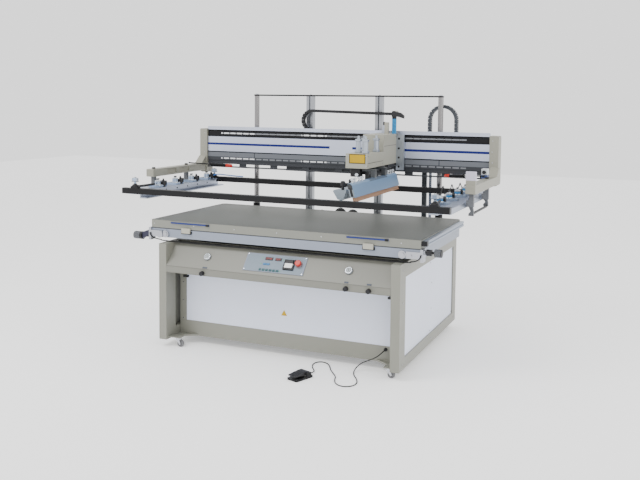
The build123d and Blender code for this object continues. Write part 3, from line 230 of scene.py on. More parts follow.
class Finish:
    """One material: a Principled shader and the nodes that feed it."""

    def __init__(self, name):
        self.material = bpy.data.materials.new(name)
        self.material.use_nodes = True
        self.tree = self.material.node_tree
        self.shader = self.tree.nodes["Principled BSDF"]
        self.place = self.node("ShaderNodeTexCoord", {}, {}, "Object")

    def node(self, kind, settings, sockets, output=0):
        """Adds a node, makes its settings first and then fills its sockets."""
        node = self.tree.nodes.new(kind)
        for key, value in settings.items():
            setattr(node, key, value)
        self.fill(node, sockets)
        return Flow(self, node.outputs[output])

    def fill(self, node, sockets):
        for key, value in sockets.items():
            if isinstance(value, Flow):
                self.tree.links.new(value.socket, node.inputs[key])
            else:
                node.inputs[key].default_value = value

    def drawing(self):
        """The place on the machine's drawing: X, Y and Z in millimetres."""
        x, y, z = (self.node("ShaderNodeSeparateXYZ", {}, {0: self.place}, axis) for axis in "XYZ")
        return x * 1000.0, y * 1000.0 + FOOTPRINT_SHIFT, z * 1000.0

    def stretched(self, scale):
        """The place on the object, drawn out along its axes."""
        return self.node("ShaderNodeVectorMath", {"operation": "MULTIPLY"}, {0: self.place, 1: scale})

    def noise(self, scale, detail=3.0, stretch=(1.0, 1.0, 1.0)):
        sockets = {"Vector": self.stretched(stretch), "Scale": scale, "Detail": detail}
        return self.node("ShaderNodeTexNoise", {}, sockets, "Fac")

    def blend(self, below, above, mask):
        """One colour laid over another where the mask says."""
        settings = {"data_type": "RGBA"}
        return self.node("ShaderNodeMix", settings, {0: mask, 6: below, 7: above}, 2)

    def marked(self, colour, marks):
        """Lays the marks of a recipe over a colour, one after another."""
        for mask, mark in marks(*self.drawing()) if marks else []:
            colour = self.blend(colour, mark, mask)
        return colour

    def bare(self, marks):
        """One where the metal shows and nothing under a mark."""
        share = 1.0
        for mask, mark in marks(*self.drawing()) if marks else []:
            share = share * (1.0 - mask)
        return share

    def bump(self, height, distance):
        sockets = {"Height": height, "Distance": distance, "Strength": 1.0}
        return self.node("ShaderNodeBump", {}, sockets, "Normal")

    def wear(self, *sockets, **named):
        self.fill(self.shader, named)
        for values in sockets:
            self.fill(self.shader, values)
        return self.material


def rgb(red, green, blue):
    return (red, green, blue, 1.0)


def tinted(colour, factor):
    return rgb(*(min(1.0, c * factor) for c in colour[:3]))


print("shader tools ready")

# %% [markdown]
# ## Enamel
# The cabinet is sprayed and baked. Enamel is even, but not flat: it has a faint orange peel that breaks up
# reflections, and its tone drifts a little. Fine noise in the bump and broad noise in the colour do that.
# Near-black enamel gets less shine of its own, because the broad light would turn it grey.

# %% Enamel
NEAR_BLACK = 0.03


def enamel(name, colour, roughness=0.38, peel=0.00012, marks=None):
    finish = Finish(name)
    drift = finish.noise(2.2, 4.0)
    colour_flow = finish.blend(tinted(colour, 0.94), tinted(colour, 1.05), drift)
    fine = finish.noise(420.0, 2.0)
    return finish.wear({
        "Base Color": finish.marked(colour_flow, marks),
        "Roughness": drift * 0.10 + (roughness - 0.05),
        "Specular IOR Level": 0.15 if max(colour[:3]) < NEAR_BLACK else 0.38,
        "Normal": finish.bump(fine, peel),
    })


PANEL_WHITE = rgb(0.70, 0.74, 0.86)
enamels = {
    "grey_enamel": enamel("grey_enamel", rgb(0.222, 0.222, 0.188)),
    "white_panel": enamel("white_panel", PANEL_WHITE, 0.42),
    "beige_enamel": enamel("beige_enamel", rgb(0.33, 0.325, 0.268), 0.40),
    "black_enamel": enamel("black_enamel", rgb(0.012, 0.012, 0.013), 0.30),
}
print("enamels", len(enamels))

# %% [markdown]
# ## Metals
# Drawn and extruded aluminium carries lines along its length. Noise that is drawn out sixtyfold along the
# piece gives them, in the roughness and in a shallow bump, while the colour hardly changes. A painted mark
# covers the metal, so under a mark the surface isn't metallic.

# %% Metals
LINES_ON_X = (1.0, 60.0, 60.0)
LINES_ON_Y = (60.0, 1.0, 60.0)
LINES_ON_Z = (60.0, 60.0, 1.0)
EVEN_GRAIN = (20.0, 20.0, 20.0)


def drawn_metal(name, colour, roughness, along=LINES_ON_X, depth=0.00006, marks=None):
    finish = Finish(name)
    lines = finish.noise(18.0, 5.0, along)
    patches = finish.noise(3.0, 2.0)
    ground = finish.blend(tinted(colour, 0.90), tinted(colour, 1.06), lines * 0.7 + patches * 0.3)
    return finish.wear({
        "Base Color": finish.marked(ground, marks),
        "Metallic": finish.bare(marks),
        "Specular IOR Level": 0.2,
        "Roughness": lines * 0.16 + (roughness - 0.08),
        "Normal": finish.bump(lines, depth),
    })


metals = {
    "aluminium": drawn_metal("aluminium", rgb(0.42, 0.46, 0.52), 0.36),
    "ground_steel": drawn_metal("ground_steel", rgb(0.52, 0.53, 0.56), 0.24, LINES_ON_Z, 0.00003),
    "chromed": drawn_metal("chromed", rgb(0.62, 0.66, 0.70), 0.16, EVEN_GRAIN, 0.00001),
}
print("metals", len(metals))

# %% [markdown]
# ## Rubber and plastics
# Moulded black parts have a fine grain that scatters light, rubber has less shine and a dusty tone. One
# recipe with a grain size and a gloss covers them.

# %% Rubber and plastics
FINE_GRAIN = 900.0
FINE_DEPTH = 0.00002


def moulded(name, colour, roughness, grain=600.0, depth=0.00008, marks=None):
    finish = Finish(name)
    speck = finish.noise(grain, 2.0)
    dust = finish.noise(14.0, 3.0)
    ground = finish.blend(tinted(colour, 0.85), tinted(colour, 1.25), dust)
    return finish.wear({
        "Base Color": finish.marked(ground, marks),
        "Roughness": dust * 0.12 + (roughness - 0.06),
        "Specular IOR Level": 0.28,
        "Normal": finish.bump(speck, depth),
    })


plastics = {
    "black_plastic": moulded("black_plastic", rgb(0.014, 0.014, 0.016), 0.42),
    "cord_rubber": moulded("cord_rubber", rgb(0.02, 0.02, 0.02), 0.55),
    "grey_rubber": moulded("grey_rubber", rgb(0.16, 0.16, 0.165), 0.6),
    "tan_rubber": moulded("tan_rubber", rgb(0.27, 0.15, 0.09), 0.5, 200.0),
    "red_plastic": moulded("red_plastic", rgb(0.50, 0.03, 0.02), 0.28),
}
print("plastics", len(plastics))

# %% [markdown]
# ## Marks by place
# One piece often shows several colours: a black line in a groove, a stripe, a painted end. A mark is a mask
# made from the drawing's own millimetres and the colour it lays down, so it rides with the piece. The
# beam's front has a blue stripe in three stretches, dark grooves, and a row of dashes with a painted
# highlight where the guide's slots catch the light; in two stretches that painted highlight is brighter.

# %% Marks on the beam
BLACK = rgb(0.010, 0.010, 0.012)
DARK = rgb(0.045, 0.048, 0.055)
PAINTED_GLINT = rgb(0.80, 0.81, 0.84)
FAINT = rgb(0.20, 0.21, 0.23)
STRIPE_BLUE = rgb(0.008, 0.014, 0.13)
DASH_PITCH = 60.0
DASH_SHARE = 0.80
GUIDE_ENDS = (-1046.0, 1000.0)
LOWER_BAND = (1257.0, 1293.0)


def dashes(x):
    """Short stretches at an even pitch along the guide."""
    return (x.repeat(DASH_PITCH) < DASH_SHARE) * x.between(*GUIDE_ENDS)


def brightest_glint(x):
    """The two stretches of the guide where the dashes carry a brighter painted highlight."""
    return x.between(-1046.0, -738.0).either(x.between(-320.0, -102.0))


def beam_marks(x, y, z):
    front = y < 560.0
    stripe = (x < -76.0).either(x.between(112.0, 202.0)).either(x > 522.0)
    joints = x.between(-739.0, -734.0).either(x.between(796.0, 801.0))
    slots = z.between(1240.0, 1250.0) * dashes(x) * front
    return [
        (z.between(1421.5, 1477.5) * (y > 530.0) * front, BLACK),
        (z.between(1353.0, 1371.0) * stripe * front, STRIPE_BLUE),
        (z.between(1293.0, 1302.0) * front, BLACK),
        (z.between(*LOWER_BAND) * front, rgb(0.14, 0.15, 0.17)),
        (z.between(*LOWER_BAND) * front * joints, BLACK),
        (z < LOWER_BAND[0], DARK),
        (slots, FAINT),
        # Painted highlight: in two stretches the dashes are brighter still.
        (slots * brightest_glint(x), PAINTED_GLINT),
    ]


def rail_marks(x, y, z):
    slots = z.between(1445.0, 1455.0) * dashes(x)
    # Painted highlight on the rail's dashes, brighter in two stretches.
    return [(slots, FAINT), (slots * brightest_glint(x), PAINTED_GLINT)]


print("beam marks ready, dashes every", DASH_PITCH, "mm")

# %% [markdown]
# ## Marks on the columns
# The square columns have a dark groove down the middle of their face. The round posts end in a black bush
# above the deck and stand in a cast foot.

# %% Marks on the columns
def column_marks(x, y, z):
    return [((x.size() - 290.0).size() < 5.5, rgb(0.16, 0.17, 0.19))]


def post_marks(x, y, z):
    return [(z.between(850.0, 881.0), BLACK), (z < 752.0, rgb(0.30, 0.30, 0.29))]


print("column marks ready")

# %% [markdown]
# ## Marks on the table and the cabinet
# The table's dark top is drilled for the vacuum at an even pitch, and its sides are lighter. The side
# panels carry painted shade inside, a dark grey where the open front shows them, and some edges are black.

# %% Marks on the table and the cabinet
TABLE_SIDE = rgb(0.215, 0.218, 0.190)
VACUUM_PITCH = 25.0


def table_marks(x, y, z):
    holes = x.repeat(VACUUM_PITCH).between(0.44, 0.56) * y.repeat(VACUUM_PITCH).between(0.44, 0.56)
    drilled = (x.size() < 900.0) * y.between(-450.0, 380.0)
    return [(z < 878.6, TABLE_SIDE), (holes * drilled, DARK)]


def subframe_marks(x, y, z):
    # Painted shade: the dark band along the top is the shadow in the gap under the table.
    return [(z > 818.5, DARK), (z < 760.5, rgb(0.22, 0.22, 0.21))]


def strip_marks(x, y, z):
    return [(y < -539.3, BLACK)]


def edge_marks(x, y, z):
    return [(y < -500.0, BLACK)]


def inner_shade_marks(x, y, z):
    # Painted shade: the inner faces are darkened where they lie within the cabinet.
    return [((x.size() < 869.0) * y.between(-480.0, 700.0), rgb(0.13, 0.132, 0.11))]


def latch_marks(x, y, z):
    return [(y < -424.8, BLACK)]


def pinch_marks(x, y, z):
    near = x.size() < 745.0
    collar = x.between(-1090.0, -1012.0).either(x.between(1012.0, 1070.0))
    return [
        (collar, rgb(0.035, 0.035, 0.06)),
        (near, rgb(0.40, 0.39, 0.33)),
        (near * (y > -538.3) * (z < 814.0), BLACK),
    ]


print("table and cabinet marks ready")

# %% [markdown]
# ## Marks on the screen head
# The arms carry studs and a small valve on their upper edge. The clamps' blocks are bright on the left; on
# the right they carry painted shade, a darker blue grey where their hoses shade them. Their posts and bases
# are black on both sides.

# %% Marks on the screen head
ARM_TOP = 1201.5
CLAMP_PITCH = 222.0
VALVE_BLUE = rgb(0.04, 0.07, 0.20)


def bracket_marks(x, y, z):
    wide = x.size()
    pockets = z.between(1156.0, 1189.0) * (y.between(-45.0, 73.0).either(y.between(114.0, 253.0)))
    studs = (z > ARM_TOP) * y.between(-197.0, -167.0).either(y.between(246.0, 262.0))
    valve = y.between(269.5, 331.0)
    return [
        ((wide < 1187.6) * pockets, rgb(0.26, 0.25, 0.20)),
        (studs * (wide > 1190.0), BLACK),
        ((z > 1231.0) * (y < -190.0), rgb(0.50, 0.48, 0.58)),
        ((z > ARM_TOP) * valve, rgb(0.56, 0.58, 0.60)),
        (z.between(ARM_TOP, 1226.0) * valve, VALVE_BLUE),
        ((z > ARM_TOP) * y.between(255.0, 269.5), BLACK),
    ]


def channel_marks(x, y, z):
    wide = x.size()
    rod = wide.between(1197.0, 1209.0) * z.between(1000.0, 1012.0) * y.between(-110.0, 307.0)
    return [(wide > 1178.0, rgb(0.115, 0.12, 0.13)), (rod, BLACK)]


def clamp_marks(x, y, z):
    cell = (y + 387.0).repeat(CLAMP_PITCH)
    # Painted shade: on the right the blocks are darkened where their hoses shade them.
    shade = (x > 0.0) * (z > 1089.5)
    blue = cell.between(0.0, 0.24) * y.between(-390.0, 340.0) * z.between(1102.0, 1122.0) * (x > 0.0)
    posts = cell.between(0.40, 0.66) * y.between(-380.0, 415.0) * (z > 1097.0)
    bases = ((y < -567.0) * (z < 1115.5)).either((y > 430.0) * (z < 1103.5))
    return [(shade, rgb(0.17, 0.215, 0.29)), (blue, rgb(0.02, 0.15, 0.34)), (posts, BLACK), (bases, BLACK)]


print("screen head marks ready")

# %% [markdown]
# ## Marks on the carriage
# The bent bracket carries blue hoses under a black cap. The squeegee's holder is blue, with a darker face
# near its top edge, and the flood bar is black along its top.

# %% Marks on the carriage
def mast_marks(x, y, z):
    hoses = x.between(450.0, 490.0) * (y < 466.2) * z.between(1485.2, 1613.0)
    cap = (z > 1596.0) * (y < 469.0) * (x > 449.0)
    upright_plate = (x < 430.0) * (z > 1485.2)
    return [(hoses, rgb(0.02, 0.20, 0.42)), (cap, BLACK), (upright_plate, rgb(0.33, 0.32, 0.27))]


def squeegee_marks(x, y, z):
    face = (z > 1190.0) * y.between(-190.0, 170.0)
    return [(face, rgb(0.055, 0.085, 0.13)), (z > 1206.0, rgb(0.05, 0.055, 0.06))]


def flood_marks(x, y, z):
    return [(z > 1166.0, rgb(0.03, 0.032, 0.035))]


print("carriage marks ready")

# %% [markdown]
# ## Marks on the control plate
# The plate lies on the raked face above the fascia. It has a row of keys at its foot, two blue teaching
# keys, two dark windows, and dark ground round the rocker and the stop button. Lengths up the slope are
# turned into heights, because a mark compares the height above the floor.

# %% Marks on the control plate
SLOPE_RUN = 118.0
SLOPE_RISE = 140.0
SLOPE = math.atan2(SLOPE_RISE, SLOPE_RUN)
SLOPE_FOOT_Y = -602.0
SLOPE_FOOT_Z = 579.0
KEY_TOP = 3.0
TEAL = rgb(0.010, 0.075, 0.085)
KEY_BLUE = rgb(0.02, 0.15, 0.34)


def up_slope(along):
    """Height above the floor of a place measured up the raked face, on a key's top."""
    return SLOPE_FOOT_Z + along * math.sin(SLOPE) + KEY_TOP


def panel_marks(x, y, z):
    keys = ((x + 110.8).repeat(25.6) < 0.80) * x.between(-108.0, 40.0)
    teaching = x.between(-89.0, -67.0).either(x.between(-63.0, -41.0))
    windows = x.between(-85.0, -28.0).either(x.between(-12.0, 36.0))
    rise = (z - up_slope(101.0)) * (1.0 / math.sin(SLOPE))
    stop_ring = ((x - 167.0) * (x - 167.0) + rise * rise) < 26.0 ** 2
    edge = ((x + 5.0).size() > 213.0).either(z < up_slope(27.0)).either(z > up_slope(149.0))
    return [
        (edge, rgb(0.20, 0.23, 0.30)),
        (keys * z.between(up_slope(29.0), up_slope(47.0)), TEAL),
        (teaching * z.between(up_slope(73.5), up_slope(90.5)), KEY_BLUE),
        (windows * z.between(up_slope(111.0), up_slope(135.0)), rgb(0.015, 0.01, 0.012)),
        (x.between(62.5, 137.5) * z.between(up_slope(50.0), up_slope(133.0)), BLACK),
        (stop_ring, rgb(0.26, 0.17, 0.18)),
    ]


def rocker_marks(x, y, z):
    return [((z < up_slope(64.0)).either(z > up_slope(106.0)), BLACK)]


print("panel slope", round(math.degrees(SLOPE), 1), "degrees")

# %% [markdown]
# ## Marked finishes
# Each recipe above now meets its ground: enamel, drawn metal or a moulded part, in the colour of that
# piece. A few plain finishes for the small fittings follow.

# %% Marked finishes
marked = {
    "beam": drawn_metal("beam", rgb(0.56, 0.595, 0.71), 0.40, marks=beam_marks),
    "rail": enamel("rail", BLACK, 0.30, marks=rail_marks),
    "column": drawn_metal("column", rgb(0.34, 0.35, 0.375), 0.34, LINES_ON_Z, marks=column_marks),
    "post": drawn_metal("post", rgb(0.27, 0.262, 0.262), 0.24, LINES_ON_Z, 0.00003, post_marks),
    "table": enamel("table", rgb(0.086, 0.091, 0.080), 0.50, marks=table_marks),
    "subframe": enamel("subframe", rgb(0.24, 0.27, 0.335), 0.34, marks=subframe_marks),
    "bracket": enamel("bracket", rgb(0.26, 0.255, 0.21), 0.40, marks=bracket_marks),
    "channel": drawn_metal("channel", rgb(0.40, 0.44, 0.53), 0.34, LINES_ON_Y, marks=channel_marks),
    "clamps": drawn_metal("clamps", rgb(0.40, 0.50, 0.66), 0.34, LINES_ON_Y, marks=clamp_marks),
    "mast": enamel("mast", rgb(0.26, 0.255, 0.21), 0.40, marks=mast_marks),
    "strips": moulded("strips", rgb(0.015, 0.03, 0.15), 0.34, FINE_GRAIN, FINE_DEPTH, strip_marks),
    "register": drawn_metal("register", rgb(0.45, 0.46, 0.50), 0.36, marks=pinch_marks),
    "fascia": enamel("fascia", rgb(0.190, 0.190, 0.163)),
    "side_panel": enamel("side_panel", PANEL_WHITE, 0.42, marks=inner_shade_marks),
    "table_edge": drawn_metal("table_edge", rgb(0.30, 0.345, 0.42), 0.34, LINES_ON_Y, marks=edge_marks),
    "front_white": enamel("front_white", PANEL_WHITE, 0.42, marks=latch_marks),
    "rocker": moulded("rocker", rgb(0.80, 0.80, 0.80), 0.30, marks=rocker_marks),
    "dial_face": moulded("dial_face", rgb(0.34, 0.37, 0.38), 0.30),
    "panel": moulded("panel", rgb(0.165, 0.21, 0.26), 0.38, FINE_GRAIN, FINE_DEPTH, panel_marks),
    "squeegee_blue": enamel("squeegee_blue", rgb(0.13, 0.215, 0.34), 0.34, marks=squeegee_marks),
    "flood_grey": enamel("flood_grey", rgb(0.21, 0.25, 0.285), 0.34, marks=flood_marks),
    "grey_shade": enamel("grey_shade", rgb(0.13, 0.13, 0.11)),
    "grey_rim": moulded("grey_rim", rgb(0.17, 0.18, 0.20), 0.36),
    "panel_dark": moulded("panel_dark", rgb(0.05, 0.06, 0.08), 0.36),
    "plain_yellow": moulded("plain_yellow", rgb(0.46, 0.29, 0.004), 0.36, FINE_GRAIN, 0.00001),
    "chain_grey": moulded("chain_grey", rgb(0.045, 0.05, 0.058), 0.42),
    "olive": moulded("olive", rgb(0.09, 0.065, 0.008), 0.4),
    "hose_blue": moulded("hose_blue", rgb(0.03, 0.12, 0.36), 0.30),
    "hose_navy": moulded("hose_navy", rgb(0.02, 0.05, 0.12), 0.34),
    "lamp_red": moulded("lamp_red", rgb(0.60, 0.02, 0.02), 0.30),
    "lamp_green": moulded("lamp_green", rgb(0.05, 0.45, 0.12), 0.30),
}
print("marked finishes", len(marked))

# %% [markdown]
# ## Dressing the nodes
# Every node of the frame is given its finish here. A list by finish is easier to check than one by piece.

# %% Dress the nodes
all_finishes = {**enamels, **metals, **plastics, **marked}
DRESS = {
    "fascia": ["front_fascia"],
    "grey_enamel": [
        "end_frame_left", "end_frame_right", "front_surround", "foot_gussets", "top_deck",
        "lift_bearings",
    ],
    "beige_enamel": ["carriage_housing"],
    "bracket": ["end_bracket_left", "end_bracket_right"],
    "mast": ["hose_mast"],
    "white_panel": ["back_panel"],
    "front_white": ["front_panel"],
    "side_panel": ["side_panels"],
    "table_edge": ["table_edges"],
    "table": ["table_top"],
    "subframe": ["table_subframe"],
    "beam": ["main_beam"],
    "register": ["register_brackets"],
    "aluminium": ["carriage_plate", "stroke_cylinders"],
    "channel": ["clamp_channel_left", "clamp_channel_right"],
    "clamps": ["screen_clamps_left", "screen_clamps_right"],
    "squeegee_blue": ["squeegee_holder"],
    "flood_grey": ["flood_bar"],
    "column": ["inner_columns"],
    "post": ["outer_columns"],
    "ground_steel": [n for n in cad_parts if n.startswith("castor_fork")],
    "chromed": ["pressure_gauges"],
    "rail": ["beam_rail"],
    "black_enamel": ["tie_bars", "screen_beam_front", "screen_beam_back", "pedal_base"],
    "black_plastic": [
        "beam_chain", "lift_chain", "pedal_treadle", "cord_gland", "table_hoses", "register_knob_left",
        "register_knob_right",
    ] + [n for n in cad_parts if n.startswith("regulator_knob")],
    "grey_rubber": [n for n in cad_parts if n.startswith("castor_wheel")],
    "tan_rubber": ["squeegee_blade"],
    "red_plastic": ["emergency_stop"],
    "rocker": ["rocker_switch"],
    "strips": ["register_strips"],
    "panel": ["control_panel"],
}


def dress(piece, material):
    piece.data.materials.clear()
    piece.data.materials.append(material)


for finish_name, nodes in DRESS.items():
    for node in nodes:
        dress(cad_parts[node], all_finishes[finish_name])
dress(cord, plastics["cord_rubber"])
undressed = [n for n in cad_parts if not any(n in nodes for nodes in DRESS.values())]
print("nodes without a finish:", undressed)

# %% [markdown]
# ## Building in mesh
# The small fittings are meshes made of rings of points: a turned piece is a row of circles, a block with
# broken edges is four rings of eight corners, a hose is a circle carried along a smooth line.

# %% Shapes
def across(direction):
    """Two directions square to one."""
    helper = AXES["z"] if abs(direction.z) < 0.9 else AXES["x"]
    first = direction.cross(helper).normalized()
    return first, direction.cross(first).normalized()


def smooth_places(points, count=6):
    """Places along a smooth line that passes through every point."""
    knots = [Vector(point) for point in points]
    knots = [knots[0] * 2 - knots[1]] + knots + [knots[-1] * 2 - knots[-2]]
    line = []
    for a, b, c, d in zip(knots, knots[1:], knots[2:], knots[3:]):
        for step in range(count):
            t = step / count
            bend = (a * 2 - b * 5 + c * 4 - d) * t**2 + (b * 3 - a - c * 3 + d) * t**3
            line.append((b * 2 + (c - a) * t + bend) * 0.5)
    return line + [knots[-2]]


class Shape:
    """A mesh being built, in the drawing's millimetres."""

    def __init__(self):
        self.mesh = bmesh.new()

    def skin(self, rings):
        """Faces between neighbouring rings, and a cap at each end."""
        loops = [[self.mesh.verts.new(spot(*point)) for point in ring] for ring in rings]
        for low, high in zip(loops, loops[1:]):
            for corners in zip(low, low[1:] + low[:1], high[1:] + high[:1], high):
                self.mesh.faces.new(corners)
        self.mesh.faces.new(loops[0][::-1])
        self.mesh.faces.new(loops[-1])
        return self

    def turned(self, place, axis, profile, steps=20, flute=0.0):
        """Circles at (reach, radius) pairs along an axis; a flute sets every other step back."""
        along = Vector(AXES[axis] if isinstance(axis, str) else axis).normalized()
        first, second = across(along)
        rings = []
        for reach, radius in profile:
            ring = []
            for step in range(steps):
                turn = math.tau * step / steps
                out = radius - flute * (step % 2)
                round_place = first * out * math.cos(turn) + second * out * math.sin(turn)
                ring.append(Vector(place) + along * reach + round_place)
            rings.append(ring)
        return self.skin(rings)

    def brick(self, place, half, edge=0.8, axes=None):
        """A block with broken edges around a place."""
        wide, deep, tall = axes or AXES.values()
        rings = []
        for level, inset in ((-half[2], edge), (edge - half[2], 0), (half[2] - edge, 0), (half[2], edge)):
            w = half[0] - inset
            d = half[1] - inset
            quarter = [(w, d - edge), (w - edge, d)]
            left = [(-x, y) for x, y in reversed(quarter)]
            corners = quarter + left + [(x, -y) for x, y in reversed(quarter + left)]
            rings.append([Vector(place) + wide * x + deep * y + tall * level for x, y in corners])
        return self.skin(rings)

    def prism(self, outline, low, high):
        """An outline of (x, z) points carried back between two places."""
        return self.skin([[(x, level, z) for x, z in outline] for level in (low, high)])

    def slab(self, x, y, z, edge=0.8):
        """A block with broken edges between three pairs of limits."""
        limits = (x, y, z)
        middle = [(low + high) / 2 for low, high in limits]
        half = [(high - low) / 2 for low, high in limits]
        return self.brick(middle, half, edge)

    def tube(self, points, radius, steps=10):
        """A round tube along a smooth line."""
        line = smooth_places(points)
        first = across((line[1] - line[0]).normalized())[0]
        rings = []
        for index, place in enumerate(line):
            ahead = line[min(index + 1, len(line) - 1)]
            behind = line[max(index - 1, 0)]
            direction = (ahead - behind).normalized()
            first = (first - direction * first.dot(direction)).normalized()
            second = direction.cross(first)
            turns = [math.tau * step / steps for step in range(steps)]
            rings.append([place + (first * math.cos(t) + second * math.sin(t)) * radius for t in turns])
        return self.skin(rings)


TRIANGLES = {}


SHARP_ANGLE = math.radians(35)


def piece(name, shape, body, finish, over=(), slot=None):
    """Makes an object of a shape, gives it its finish and lets it ride a body."""
    bmesh.ops.recalc_face_normals(shape.mesh, faces=shape.mesh.faces)
    mesh = bpy.data.meshes.new(name)
    shape.mesh.to_mesh(mesh)
    shape.mesh.free()
    mesh.shade_smooth()
    mesh.set_sharp_from_angle(angle=SHARP_ANGLE)
    mesh.materials.append(all_finishes[finish])
    item = bpy.data.objects.new(name, mesh)
    bpy.context.scene.collection.objects.link(item)
    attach(item, body)
    if over:
        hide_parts(*over)
    TRIANGLES[name] = sum(len(face.vertices) - 2 for face in mesh.polygons)
    return item


def head_profile(radius, height):
    """A screw's head with its hexagon socket, as (reach, radius) pairs."""
    shoulder = [(0, radius), (height * 0.8, radius), (height, radius * 0.86)]
    socket = [(height, radius * 0.5), (height * 0.4, radius * 0.48)]
    return shoulder + socket


def screws(places, axis, radius, height, steps=12):
    """A group of socket screws."""
    group = Shape()
    for place in places:
        group.turned(place, axis, head_profile(radius, height), steps)
    return group


print("shape tools ready")

# %% [markdown]
# ## Cable chains
# A cable chain is a row of links. Each link is two side plates and two bars, set square to the chain's
# path, so the same links walk along the straight runs and round the half turn.

# %% Cable chains
LINK_PITCH = 27.0


def chain_path(centre, radius, low, high, turn, pitch=LINK_PITCH):
    """Places along a chain: a straight run, half a turn and a straight run; turn stands it upright."""
    total = low + math.pi * radius + high
    count = int(total / pitch)
    steps = []
    for index in range(count):
        s = (index + 0.5) * total / count
        if s < low:
            place, heading = (low - s, -radius), (-1.0, 0.0)
        elif s < low + math.pi * radius:
            angle = (s - low) / radius
            place = (-radius * math.sin(angle), -radius * math.cos(angle))
            heading = (-math.cos(angle), math.sin(angle))
        else:
            place, heading = (s - low - math.pi * radius, radius), (1.0, 0.0)
        if turn:
            place, heading = (place[1], -place[0]), (heading[1], -heading[0])
        steps.append(((centre[0] + place[0], centre[1] + place[1]), Vector((heading[0], 0.0, heading[1]))))
    return steps, total / count


def chain(centre, y, radius, width, thick, low, high, turn, sag=0.0):
    """Links along the chain's path; the upper run may sag towards its free end."""
    shape = Shape()
    steps, pitch = chain_path(centre, radius, low, high, turn)
    for (x, z), tangent in steps:
        z -= sag * max(0.0, x - centre[0]) * (z > centre[1])
        normal = tangent.cross(AXES["y"])
        axes = (tangent, AXES["y"], normal)
        for side in (-1, 1):
            cheek = (x, y + side * (width / 2 - 2), z)
            shape.brick(cheek, (pitch * 0.47, 2.0, thick / 2 - 0.4), 0.7, axes)
            bar = Vector((x, y, z)) + normal * side * (thick / 2 - 1.8)
            shape.brick(bar, (pitch * 0.30, width / 2 - 3.5, 1.4), 0.5, axes)
            pin = Vector((x, y + side * (width / 2 - 0.4), z)) - tangent * pitch * 0.5
            shape.turned(pin, (0, side, 0), [(-1, 3.4), (0.2, 3.4), (0.2, 0.5)], 10)
    return shape


print("chain tools ready")

# %% [markdown]
# ## Beam chain
# This chain lies above the beam and feeds the moving carriage. Its upper run is the longer one and sags a
# little towards its free end, and the lower run ends in a foot on the beam.

# %% Beam chain
beam_links = chain(
    centre=(-245.0, 1567.3), y=570.0, radius=77.0, width=40.0, thick=22.0,
    low=560.0, high=675.0, turn=False, sag=0.022,
)
beam_links.slab((303, 315), (552, 588), (1479.4, 1502), 1.0)
piece("beam_chain_links", beam_links, "head", "black_plastic", ["beam_chain"], "black_plastic")
print("beam chain triangles", TRIANGLES["beam_chain_links"])

# %% [markdown]
# ## Lift chain
# Behind the machine a second chain carries the head's cables up and down. Its fixed end stands on a post
# with a row of clips, and two thin hoses rise beside it from the deck. The same link maker draws it, turned
# upright.

# %% Lift chain
CHAIN_Y = 702.0
DECK_TOP = 727.0
lift_links = chain(
    centre=(776.0, 1587.0), y=CHAIN_Y, radius=102.0, width=40.0, thick=26.0, low=352.0, high=160.0, turn=True,
)
lift_links.slab((621, 657), (688, 716), (DECK_TOP, 1320), 1.5)
lift_links.slab((607, 657), (680, 724), (DECK_TOP, 735), 1.0)
lift_links.slab((621, 691), (688, 716), (1223, 1235), 1.0)
for level in range(760, 1310, 60):
    lift_links.slab((624, 654), (686.4, 688.4), (level, level + 34), 0.4)
piece("lift_chain_links", lift_links, "cabinet", "chain_grey", ["lift_chain"], "black_plastic")
deck_hoses = Shape()
for x in (679.5, 690.5):
    deck_hoses.turned((x, CHAIN_Y, DECK_TOP), "z", [(0, 5.2), (497, 5.2), (498, 4.6)], 12)
piece("deck_hoses", deck_hoses, "cabinet", "hose_navy")
print("lift chain triangles", TRIANGLES["lift_chain_links"])

# %% [markdown]
# ## Beam and end plates
# Socket screws hold the guide rail at its pitch, and the end plates are screwed to the beam's end. The back
# of the beam has its own closing strips.

# %% Beam fittings
FORWARD = (0, -1, 0)
rail_places = [(-1026 + DASH_PITCH * index, 528, 1449.5) for index in range(34)]
piece("rail_screws", screws(rail_places, FORWARD, 3.6, 2.0), "head", "ground_steel")
plate_places = []
for side in (-1, 1):
    plate_places += [(side * (1190 + 4 * (index % 2)), 510, 1215 + 78 * index) for index in range(4)]
piece("end_plate_screws", screws(plate_places, FORWARD, 3.6, 2.6), "head", "ground_steel")
strips = Shape()
for z in (1240, 1330, 1420):
    strips.slab((-1150, 1150), (600, 602), (z, z + 12), 0.6)
piece("beam_back_strips", strips, "head", "black_plastic")
deck_screws = [(-1100 + 200 * index, 545, 1479) for index in range(12)]
piece("beam_deck_screws", screws(deck_screws, "z", 4.5, 3.5), "head", "ground_steel")
print("beam fittings", len(rail_places), "rail screws")

# %% [markdown]
# ## Screen clamps
# Each side carries four air cylinders with a cap, a collar, an elbow, and a block with its knurled screw
# beside them. On the right side each cylinder passes the air to the next through a hoop of hose. What
# repeats is made in one loop over the places, as joined meshes: one for the metal, one for the plastic, one
# for the hoses.

